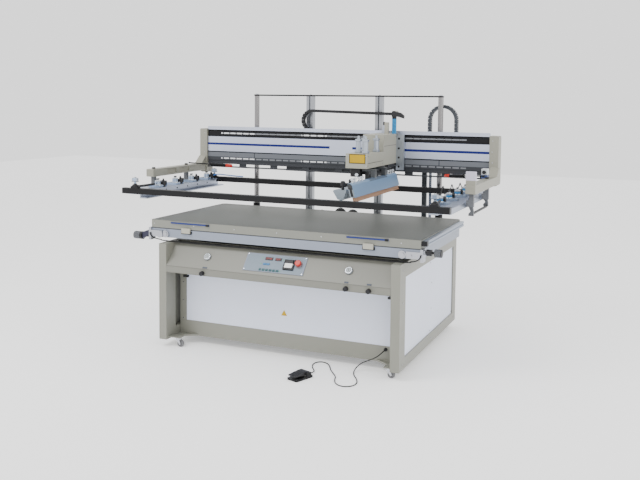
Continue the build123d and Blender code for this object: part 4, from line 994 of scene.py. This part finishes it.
# %% Clamp fittings
CLAMP_X = 1052
CLAMP_FIRST_Y = -361
CLAMPS_A_SIDE = 4
caps = Shape()
elbows = Shape()
hoops = Shape()
for side in (-1, 1):
    for index in range(CLAMPS_A_SIDE):
        x = side * CLAMP_X
        y = CLAMP_FIRST_Y + CLAMP_PITCH * index
        caps.turned((x, y, 1130.8), "z", [(0, 20.3), (3, 20.3), (5, 18), (5, 9), (12, 9), (12, 1)], 24)
        caps.turned((x, y, 1101), "z", [(0, 24), (5, 24), (7, 21.5), (7, 20.1)], 24)
        elbows.brick((x, y, 1146), (6, 9, 5), 1.2)
        elbows.turned((x, y + 8, 1146), "y", [(0, 5), (7, 5), (7, 3.4), (12, 3.4)], 12)
        elbows.slab((x - 26, x + 26), (y + 33, y + 66), (1090, 1124), 3.0)
        elbows.turned((x - side * 14, y + 50, 1124), "z", [(0, 9), (12, 9), (14, 6), (22, 6), (22, 2)], 14)
        elbows.turned((x, y + 90, 1115.5), "z", [(0, 15.2), (3, 16.5), (9, 16.5), (12, 13), (12, 2)], 20, 1.2)
        for back in (18, -18):
            caps.turned((x - side * 24, y + back, 1101), "z", head_profile(4, 4), 12)
        if side > 0 and index < CLAMPS_A_SIDE - 1:
            peak = 1194 - 10 * index
            hoop = [(18, 1146), (44, peak - 18), (68, peak), (92, peak - 18), (118, 1140), (124, 1112)]
            hoops.tube([(x, y + back, height) for back, height in hoop], 3.4, 8)
piece("clamp_caps", caps, "head", "chromed")
piece("clamp_elbows", elbows, "head", "black_plastic")
piece("clamp_hoops", hoops, "head", "black_plastic")
print("clamp fittings", TRIANGLES["clamp_caps"], TRIANGLES["clamp_elbows"], TRIANGLES["clamp_hoops"])

# %% [markdown]
# ## Red tipped cylinders
# A slim black cylinder with a red tip reaches from each arm's rear stud in towards the beam. It is one
# turned piece along a slanting axis: a thin rod, then the thick body, then the tip. A blue hose runs near
# each.

# %% Red tipped cylinders
HEEL = (1190, 262, 1219)
TIP_X = {-1: 923, 1: 853}
TIP_LENGTH = 58
bodies = Shape()
tips = Shape()
for side in (-1, 1):
    heel = Vector((side * HEEL[0], *HEEL[1:]))
    reach = Vector((side * TIP_X[side], 494, 1186)) - heel
    length = reach.length
    neck = length - TIP_LENGTH
    rod = [(0, 6), (10, 6), (10, 4.5), (length * 0.5, 4.5)]
    bodies.turned(heel, reach, rod + [(length * 0.5, 13), (neck, 13), (neck, 7)], 18)
    tip = [(neck, 10), (neck + 4, 13.5), (length - 8, 13.5), (length, 8), (length, 2)]
    tips.turned(heel, reach, tip, 18)
piece("stay_cylinders", bodies, "head", "black_enamel")
piece("stay_tips", tips, "head", "red_plastic")
STAY_HOSES = [
    [(-1040, 360, 1112), (-1000, 400, 1122), (-940, 430, 1116), (-860, 446, 1110), (-800, 450, 1108)],
    [(1040, 372, 1112), (1070, 410, 1140), (1120, 440, 1150), (1166, 470, 1144), (1172, 505, 1150)],
]
stay_hoses = Shape()
for route in STAY_HOSES:
    stay_hoses.tube(route, 4.5)
piece("stay_hoses", stay_hoses, "head", "hose_blue")
print("stays", round(length), "mm long")

# %% [markdown]
# ## Channel screws
# The left clamp channel shows its inner side to the front, with a row of dark screw heads.

# %% Channel screws
rim_screws = [(-999.8, y, 1070) for y in range(-330, 400, 140)]
piece("channel_screws", screws(rim_screws, "x", 6.0, 3.0), "head", "black_plastic")
print("channel screws", len(rim_screws))

# %% [markdown]
# ## Front levers and knobs
# Each channel ends in a tall knob at the front and another at the back: a post on a round foot, with a
# block for a head. A short lever ties the front knob to the first clamp, and a long rod hangs below the
# arm.

# %% Front levers and knobs
LEVER = ((1083, -548, 1110), (1072, -470, 1110), (1060, -392, 1112))
KNOB_FEET = ((1083, -587.5, 1101), (1065, 450, 1089.3))
levers = Shape()
heads = Shape()
for side in (-1, 1):
    levers.tube([(side * x, y, z) for x, y, z in LEVER], 9)
    levers.turned((side * 1203, -104, 1006), "y", [(0, 6), (3, 8.5), (403, 8.5), (406, 6)], 16)
    for x, y, z in KNOB_FEET:
        heads.turned((side * x, y, z + 70), "z", [(0, 16.8), (3, 14), (3, 6), (7, 6), (7, 1)], 20)
        heads.brick((side * x, y, z + 58), (23, 10, 13), 3.0)
        levers.turned((side * x, y, z + 13), "z", [(0, 22), (8, 22), (14, 12), (20, 9), (20, 8.2)], 18)
        levers.slab((side * x - 24.2, side * x + 24.2), (y - 11, y + 11), (z + 44, z + 48), 1.0)
piece("front_levers", levers, "head", "black_plastic")
piece("knob_heads", heads, "head", "aluminium")
print("knob heads", TRIANGLES["knob_heads"])

# %% [markdown]
# ## Print carriage
# The housing is held by screws on its slide plate. Air cylinders stand on the nose with square end blocks;
# each block has its elbow. Blocks and elbows repeat, so a loop sets them at four places.

# %% Carriage fittings
blocks = Shape()
elbows = Shape()
NOSE_CYLINDERS = ((440.5, -60), (440.5, 155), (367.5, -8), (367.5, 103))
for x, y in NOSE_CYLINDERS:
    blocks.slab((x - 20, x + 20), (y - 20, y + 20), (1366.4, 1384), 2.0)
    blocks.slab((x - 19, x + 19), (y - 19, y + 19), (1446, 1462.5), 2.0)
    blocks.turned((x, y, 1462), "z", [(0, 11), (4, 11), (4, 8), (20, 8), (22, 6), (22, 1)], 16)
    for level in (1376, 1454):
        elbows.turned((x, y + 19, level), "y", [(0, 5.5), (7, 5.5), (7, 4), (13, 4)], 12)
piece("nose_blocks", blocks, "carriage", "aluminium")
piece("nose_elbows", elbows, "carriage", "black_plastic")
plates = [(496, 500, z) for z in (1448, 1375, 1307, 1239)]
piece("slide_screws", screws(plates, FORWARD, 8.0, 4.0), "carriage", "black_plastic")
gusset = Shape().prism([(370, 1487), (396, 1487), (396, 1556), (390, 1556)], 458, 464)
piece("pillar_gusset", gusset, "carriage", "channel")
switch = Shape().slab((386, 397), (448, 474), (1548, 1572), 2.0)
piece("pillar_switch", switch, "carriage", "black_plastic")
print("carriage fittings", TRIANGLES["nose_blocks"], TRIANGLES["slide_screws"])

# %% [markdown]
# ## Nose plate and seams
# A yellow plate in a dull olive rim closes the nose. The housing is folded sheet, so thin dark seams run
# along its side, and screws hold it.

# %% Nose plate and seams
NOSE_FACE = -120
NOSE_SIDE = (474.3, 475.1)
yellow_plate = Shape().slab((349, 456), (NOSE_FACE - 1.8, NOSE_FACE), (1305, 1359), 0.5)
piece("nose_plate", yellow_plate, "carriage", "plain_yellow")
plate_rim = Shape().slab((343, 462), (NOSE_FACE - 1.2, NOSE_FACE), (1299, 1365), 0.4)
piece("nose_plate_rim", plate_rim, "carriage", "olive")
seams = Shape()
seams.slab(NOSE_SIDE, (-112, 205), (1300, 1303), 0.3).slab(NOSE_SIDE, (225, 495), (1402, 1405), 0.3)
piece("nose_seams", seams, "carriage", "black_plastic")
nose_screws = [(x, NOSE_FACE, z) for x in (328, 466) for z in (1280, 1350)]
piece("nose_screws", screws(nose_screws, FORWARD, 4.0, 2.2), "carriage", "ground_steel")
SIDE_SCREWS = ((-100, 1284), (60, 1284), (200, 1284), (-100, 1350), (240, 1464), (490, 1464))
side_places = [(474.5, y, z) for y, z in SIDE_SCREWS]
piece("housing_screws", screws(side_places, "x", 4.0, 2.2), "carriage", "ground_steel")
print("nose plate ready")

# %% [markdown]
# ## Under the nose
# Valves and guide blocks hang under the housing, seen only as dark lumps, with one bright stroke dial at
# the front. Plain blocks with broken edges are enough for what the eye can make out.

# %% Under the nose
UNDERSIDE = 1265.6
UNDER_BLOCKS = [
    ((344, 414), (-100, -38), 1206, 3.0),
    ((380, 430), (20, 80), 1214, 3.0),
    ((452, 470), (190, 260), 1226, 2.0),
    ((330, 400), (280, 420), 1232, 3.0),
    ((430, 470), (330, 470), 1236, 2.0),
]
under = Shape()
for wide, deep, foot, edge in UNDER_BLOCKS:
    under.slab(wide, deep, (foot, UNDERSIDE), edge)
piece("under_nose", under, "carriage", "black_plastic")
dials = Shape()
dials.turned((394, -100, 1221), FORWARD, [(0, 13), (8, 13), (10, 11), (10, 4), (16, 4), (16, 1)], 20)
piece("stroke_dials", dials, "carriage", "chromed")
print("under the nose", TRIANGLES["under_nose"])

# %% [markdown]
# ## Squeegee and flood bar
# The squeegee's holder leans, so every place on it is counted from its slanting middle line. It has an end
# cap at both ends, a dark slot in the front one, and bright knobs along its top that grip the blade. The
# flood bar has taller black ones.

# %% Blade fittings
HOLDER_MIDDLE_X = 516
HOLDER_LEAN = 13
HOLDER_FOOT = 1116
HOLDER_HEIGHT = 88
CAP_OUTLINE = ((-16, 1117), (16, 1117), (16, 1192), (7, 1203), (-7, 1203), (-16, 1192))
SLOT_OUTLINE = ((-8, 1122), (8, 1122), (8, 1176), (-8, 1176))


def squeegee_x(z):
    """The holder's middle line at a height."""
    return HOLDER_MIDDLE_X + HOLDER_LEAN * (1 - 2 * (z - HOLDER_FOOT) / HOLDER_HEIGHT)


def leaning(outline):
    return [(squeegee_x(z) + beside, z) for beside, z in outline]


caps = Shape()
for y in (-521.4, 375.0):
    caps.prism(leaning(CAP_OUTLINE), y, y + 1.4)
piece("squeegee_caps", caps, "squeegee", "flood_grey")
piece("squeegee_slot", Shape().prism(leaning(SLOT_OUTLINE), -522.4, -521.2), "squeegee", "black_plastic")
grips = Shape()
for y in (-470, -420, -340, -290, 190, 240, 290, 340):
    profile = [(0, 9), (8, 9), (8, 5), (16, 5), (16, 12), (26, 12), (29, 9), (29, 1)]
    grips.turned((squeegee_x(1204), y, 1203.4), "z", profile, 18)
piece("squeegee_grips", grips, "squeegee", "chromed")
grips = Shape()
for y in (-497, -360, 270, 345):
    profile = [(0, 10), (14, 10), (14, 7), (26, 7), (26, 15), (52, 15), (57, 11), (57, 1)]
    grips.turned((452, y, 1159), "z", profile, 20, 1.0)
piece("flood_grips", grips, "flood", "black_plastic")
print("blade fittings", TRIANGLES["flood_grips"])

# %% [markdown]
# ## Knurled rims
# The micrometer knobs of the table and the regulator knobs have a knurled rim, so that a hand can turn
# them. Such a rim is a turned piece whose every other step is set back.

# %% Knurled rims
REGISTER_RIMS = {
    "right": ((1068, -512, 804), "x", 25.4, 46),
    "left": ((-1086, -512, 756), (-1, 0, 0), 27.4, 55),
}
for label, (place, axis, radius, length) in REGISTER_RIMS.items():
    profile = [(2.5, radius - 2.4), (4, radius), (length - 4, radius), (length - 2.5, radius - 2.4)]
    piece(f"register_rim_{label}", Shape().turned(place, axis, profile, 72, 0.9), f"knob_{label}", "grey_rim")
for label, x in (("left", -525), ("middle", 524), ("right", 677)):
    rim = Shape().turned((x, -602.3, 549), FORWARD, [(3, 14.8), (5, 16), (20, 16), (23, 14.6)], 36, 1.3)
    piece(f"regulator_rim_{label}", rim, f"regulator_{label}", "black_plastic")
print("rims", TRIANGLES["register_rim_right"])

# %% [markdown]
# ## Gauges
# Each gauge has a pale dial, a scale of small ticks, a needle and a dull ring. They sit in the raked face,
# so one function gives a place on that face from the distance up the slope and the lift out of it.

# %% Gauges
def on_slope(x, along, lift):
    """A place on the raked face: along it from its foot, and lifted out of it."""
    y = SLOPE_FOOT_Y + along * math.cos(SLOPE) - lift * math.sin(SLOPE)
    return Vector((x, y, SLOPE_FOOT_Z + along * math.sin(SLOPE) + lift * math.cos(SLOPE)))


GAUGE_X = 520
GAUGE_ALONG = 92
TICKS = 21
NEEDLE_TURN = -0.6
OUT = Vector((0, -math.sin(SLOPE), math.cos(SLOPE)))
UPHILL = Vector((0, math.cos(SLOPE), math.sin(SLOPE)))
SLOPE_AXES = (AXES["x"], UPHILL, OUT)
dials = Shape()
ticks = Shape()
rings = Shape()
for centre in (-GAUGE_X, GAUGE_X):
    dials.turned(on_slope(centre, GAUGE_ALONG, 11.2), OUT, [(0, 19.8), (0.8, 19.8)], 32)
    ring_profile = [(0, 25.6), (9, 25.6), (11.6, 24.2), (11.6, 20.4), (11.1, 20.2)]
    rings.turned(on_slope(centre, GAUGE_ALONG, 0.3), OUT, ring_profile, 40)
    for index in range(TICKS):
        turn = math.radians(-135 + 13.5 * index)
        ray = AXES["x"] * math.sin(turn) + UPHILL * math.cos(turn)
        long = 2.4 if index % 5 == 0 else 1.4
        middle = on_slope(centre, GAUGE_ALONG, 12.3) + ray * (17.5 - long)
        ticks.brick(middle, (0.4, long, 0.3), 0.1, (ray.cross(OUT), ray, OUT))
    point = AXES["x"] * math.sin(NEEDLE_TURN) + UPHILL * math.cos(NEEDLE_TURN)
    needle_middle = on_slope(centre, GAUGE_ALONG, 13.0) + point * 5
    ticks.brick(needle_middle, (0.8, 9.5, 0.4), 0.2, (point.cross(OUT), point, OUT))
    ticks.turned(on_slope(centre, GAUGE_ALONG, 12.2), OUT, [(0, 2.6), (1.6, 2.6), (2, 1.6)], 14)
piece("gauge_dials", dials, "cabinet", "dial_face")
piece("gauge_ticks", ticks, "cabinet", "black_plastic")
piece("gauge_rings", rings, "cabinet", "grey_rim")
print("gauge ticks", TRIANGLES["gauge_ticks"])

# %% [markdown]
# ## Control plate
# Two dark windows show red figures made of seven bars, as such displays do; green lamps and four screws
# finish the plate. Each figure lists its lit bars, and each bar its place and whether it lies flat.

# %% Control plate details
FIGURES = {"0": "abcdef", "2": "abged", "4": "fgbc", "5": "afgcd", "8": "abcdefg"}
BARS = {
    "a": (0, 6, True),
    "b": (3, 3, False),
    "c": (3, -3, False),
    "d": (0, -6, True),
    "e": (-3, -3, False),
    "f": (-3, 3, False),
    "g": (0, 0, True),
}
FIGURE_PITCH = 12
figures = Shape()
for start, text in ((-74.5, "0240"), (-3, "085")):
    for place, sign in enumerate(text):
        for bar in FIGURES[sign]:
            dx, dy, flat = BARS[bar]
            half = (2.2, 0.7, 0.3) if flat else (0.7, 2.2, 0.3)
            figures.brick(on_slope(start + place * FIGURE_PITCH + dx, 123 + dy, 7.4), half, 0.15, SLOPE_AXES)
piece("display_figures", figures, "cabinet", "lamp_red")
lamps = Shape()
for x, along in ((48, 123), (48, 38), (-106, 123), (-106, 82)):
    lamps.turned(on_slope(x, along, 4.2), OUT, [(0, 3.2), (1.6, 3.2), (2.6, 2.0)], 14)
piece("panel_lamps", lamps, "cabinet", "lamp_green")
corners = [on_slope(x, along, 4.3) for x in (-216, 206) for along in (32, 148)]
piece("panel_screws", screws(corners, OUT, 3.2, 1.8), "cabinet", "chromed")
print("control plate details", TRIANGLES["display_figures"])

# %% [markdown]
# ## Plain plates on the fascia
# Small dark plates lie above the regulator knobs, and a yellow triangle on the front panel. Each is one
# flat shape in one colour.

# %% Plain plates on the fascia
tags = Shape()
for low, high in ((-529, -493), (509, 537), (660, 692)):
    tags.brick(on_slope((low + high) / 2, 10, 1.0), ((high - low) / 2, 6, 0.8), 0.3, SLOPE_AXES)
piece("knob_tags", tags, "cabinet", "panel_dark")
sign = Shape().prism([(-17, 274), (27, 274), (5, 312)], -425.4, -424.0)
piece("front_triangle", sign, "cabinet", "plain_yellow")
print("plates", TRIANGLES["knob_tags"], TRIANGLES["front_triangle"])

# %% [markdown]
# ## Cabinet
# Screws hold the end frames and the panels at their edges. The back has two groups of louvres and an inlet
# box with two round sockets, since a machine like this is wired and cooled from behind.

# %% Cabinet fittings
FRAME_SCREWS = [(879, y, z) for y in (-540, 100, 735) for z in (88, 300, 480, 682)]
PANEL_SCREWS = [(870, y, z) for y in (-470, 100, 674) for z in (141, 618)]
outward = Shape()
for places in (FRAME_SCREWS, PANEL_SCREWS):
    for side in (-1, 1):
        for x, y, z in places:
            outward.turned((side * x, y, z), (side, 0, 0), head_profile(5, 2.6), 12)
piece("side_screws", outward, "cabinet", "ground_steel")
front_places = [(x, -426, z) for x in (-792, 792) for z in (170, 300, 430)]
piece("stile_screws", screws(front_places, FORWARD, 4, 2), "cabinet", "ground_steel")
back_places = [(x, 768, z) for x in (-790, -400, 0, 400, 790) for z in (80, 690)]
piece("back_screws", screws(back_places, "y", 5, 2.6), "cabinet", "ground_steel")
louvres = Shape()
for centre in (-420, 420):
    for index in range(9):
        level = 260 + index * 30
        louvres.slab((centre - 110, centre + 110), (767.6, 773), (level, level + 9), 1.5)
piece("back_louvres", louvres, "cabinet", "white_panel")
inlet = Shape().slab((-60, 60), (767, 779), (180, 290), 2.0)
for x, rim, hole in ((-25, 16, 12), (28, 12, 8)):
    inlet.turned((x, 779, 235), "y", [(-2, rim), (1, rim), (1, hole), (1, 3)], 20)
piece("back_inlet", inlet, "cabinet", "black_plastic")
print("cabinet screws", 2 * len(FRAME_SCREWS + PANEL_SCREWS) + len(front_places) + len(back_places))

# %% [markdown]
# ## Fascia folds, and the tube and shade line on the rail
# Two fold lines cross the front sheet, drawn as thin strips of painted shade. A thin black tube starts at one
# end of the table's front rail, drops below it, runs along it and comes up at the other end; the right half
# mirrors the left. Along the rail its dark line is partly painted shade at the deck's edge under the rail.

# %% Fascia folds, and the tube and shade line on the rail
seam = Shape()
# Painted shade: two thin dark strips stand for the shade in the fascia's folds.
seam.slab((-818, 818), (-602.5, -601.8), (532.5, 534), 0.2)
seam.slab((-818, 818), (-603.0, -602.0), (576.5, 579), 0.4)
piece("fascia_folds", seam, "cabinet", "grey_shade")
# Painted shade: along the rail the black tube also stands for the shade at the deck's edge under the rail.
TUBE_AND_SHADE_LEFT = [
    (-989, -548, 790), (-985, -548, 772), (-962, -540, 752), (-916, -520, 738), (-865, -512, 731.5),
    (-400, -512, 731.5),
]
tube_and_shade_right = [(-x, y, z) for x, y, z in reversed(TUBE_AND_SHADE_LEFT)]
rail_tube_and_shade = Shape().tube(TUBE_AND_SHADE_LEFT + [(0, -512, 731.5)] + tube_and_shade_right, 4.0)
piece("rail_tube_and_shade", rail_tube_and_shade, "cabinet", "black_plastic")
print("rail tube", TRIANGLES["rail_tube_and_shade"])

# %% [markdown]
# ## Pedal and table details
# The pedal lies turned on the floor, so its details are placed in its own directions. Cross ribs follow the
# treadle's bent top and keep a shoe from slipping; screws show at the base's corners and along the table.

# %% Pedal and table details
PEDAL_ACROSS = Vector((math.cos(PEDAL_TURN), math.sin(PEDAL_TURN), 0))
PEDAL_ALONG = Vector((-math.sin(PEDAL_TURN), math.cos(PEDAL_TURN), 0))
PEDAL_AXES = (PEDAL_ACROSS, PEDAL_ALONG, AXES["z"])
PEDAL_AXES = (PEDAL_ACROSS, PEDAL_ALONG, AXES["z"])
PEDAL_AXES = (PEDAL_ACROSS, PEDAL_ALONG, AXES["z"])
PEDAL_AXES = (PEDAL_ACROSS, PEDAL_ALONG, AXES["z"])


def on_pedal(x, y, z):
    return Vector((*PEDAL_MM, z)) + PEDAL_ACROSS * x + PEDAL_ALONG * y


def treadle_top(y):
    """Height of the treadle's top: it rises to its bend and then runs nearly level."""
    return 33 + (y + 72) / 52 * 7 if y < -20 else 40 + (y + 20) / 66 * 2


ribs = Shape()
for index in range(9):
    y = -64 + index * 11
    ribs.brick(on_pedal(0, y, treadle_top(y) + 0.4), (28, 2.2, 1.3), 0.6, PEDAL_AXES)
piece("treadle_ribs", ribs, "treadle", "black_plastic")
pads = Shape()
for x, y in ((-32, -62), (32, -62), (-32, 62), (32, 62)):
    pads.turned(on_pedal(x, y, 12), "z", head_profile(3.5, 2.0), 12)
piece("pedal_screws", pads, "cabinet", "ground_steel")
table_screws = [(x, -532, 853) for x in (-960, -640, -320, 0, 320, 860)]
piece("table_side_screws", screws(table_screws, FORWARD, 4, 1.6), "table", "ground_steel")
print("pedal ribs", TRIANGLES["treadle_ribs"])

# %% [markdown]
# ## Column and hose fittings
# Six screws hold each round post's foot, and a nut or a screw closes the top of every column. The vacuum
# hoses leave the deck through hexagon nuts, which are turned pieces with six steps.

# %% Column and hose fittings
POST_X = 773
COLUMN_X = 290
COLUMN_Y = 638
COLUMN_TOP = 1769
FOOT_SCREWS = 6
HOSE_Y = 578
HEXAGON = 6
crowns = Shape()
for side in (-1, 1):
    for index in range(FOOT_SCREWS):
        turn = math.tau * index / FOOT_SCREWS
        place = (side * POST_X + 28 * math.cos(turn), COLUMN_Y + 28 * math.sin(turn), 751)
        crowns.turned(place, "z", head_profile(4, 4), 12)
    crowns.turned((side * POST_X, COLUMN_Y, COLUMN_TOP), "z", [(0, 14), (5, 14), (7, 11), (7, 3)], HEXAGON)
    crowns.turned((side * COLUMN_X, COLUMN_Y, COLUMN_TOP), "z", head_profile(8, 6), 14)
piece("column_screws", crowns, "cabinet", "ground_steel")
collars = Shape()
for x in (-38, 38, 68, 140):
    collars.turned((x, HOSE_Y, DECK_TOP), "z", [(0, 20), (10, 20), (12, 17), (12, 14.2)], HEXAGON)
collars.turned((-159, HOSE_Y, DECK_TOP), "z", [(0, 15), (8, 15), (9, 10.2)], HEXAGON)
collars.turned((-159, HOSE_Y, 861.6), "z", [(0, 10.2), (3, 8), (4, 3)], 16)
piece("hose_nuts", collars, "cabinet", "black_plastic")
print("total extra triangles", sum(TRIANGLES.values()))

# %% [markdown]
# ## Floor and light
# The machine stands on a seamless pale floor, which gives off a little light of its own, so that the parts
# near it aren't dark underneath. Most of the light comes from the bright air all round, for the even look
# of a catalogue. A soft light from the upper left in front lets the fronts stand out from the tops, and a
# weaker one from the right keeps that side readable.

# %% Floor
FLOOR_REACH = 14.0
floor_mesh = bpy.data.meshes.new("studio_floor")
floor_corners = [(x * FLOOR_REACH, y * FLOOR_REACH, 0) for x, y in ((-1, -1), (1, -1), (1, 1), (-1, 1))]
floor_mesh.from_pydata(floor_corners, [], [(0, 1, 2, 3)])
floor = bpy.data.objects.new("studio_floor", floor_mesh)
bpy.context.scene.collection.objects.link(floor)
floor_finish = Finish("studio_paper")
tone = floor_finish.noise(0.4, 2.0)
dress(floor, floor_finish.wear({
    "Base Color": floor_finish.blend(rgb(0.88, 0.88, 0.88), rgb(0.91, 0.91, 0.91), tone), "Roughness": 0.9,
    "Emission Color": rgb(1.0, 1.0, 1.0), "Emission Strength": 0.35,
}))
print("floor", 2 * FLOOR_REACH, "m wide")

# %% Lights
world = bpy.data.worlds.new("studio_air")
bpy.context.scene.world = world
world.use_nodes = True
air = world.node_tree.nodes["Background"]
air.inputs["Color"].default_value = rgb(1.0, 1.0, 1.0)
air.inputs["Strength"].default_value = 1.6


def soft_light(name, place, aim, size, power):
    light = bpy.data.lights.new(name, "AREA")
    light.shape = "RECTANGLE"
    light.size, light.size_y = size
    light.energy = power
    lamp = bpy.data.objects.new(name, light)
    lamp.location = place
    lamp.rotation_euler = (Vector(aim) - Vector(place)).to_track_quat("-Z", "Y").to_euler()
    bpy.context.scene.collection.objects.link(lamp)


soft_light("key_light", (-2.0, -3.0, 4.8), (0, 0, 0.8), (2.4, 1.8), 150)
soft_light("side_light", (4.0, -0.5, 2.6), (0.8, 0, 0.6), (2.0, 2.0), 40)
print("lights ready")
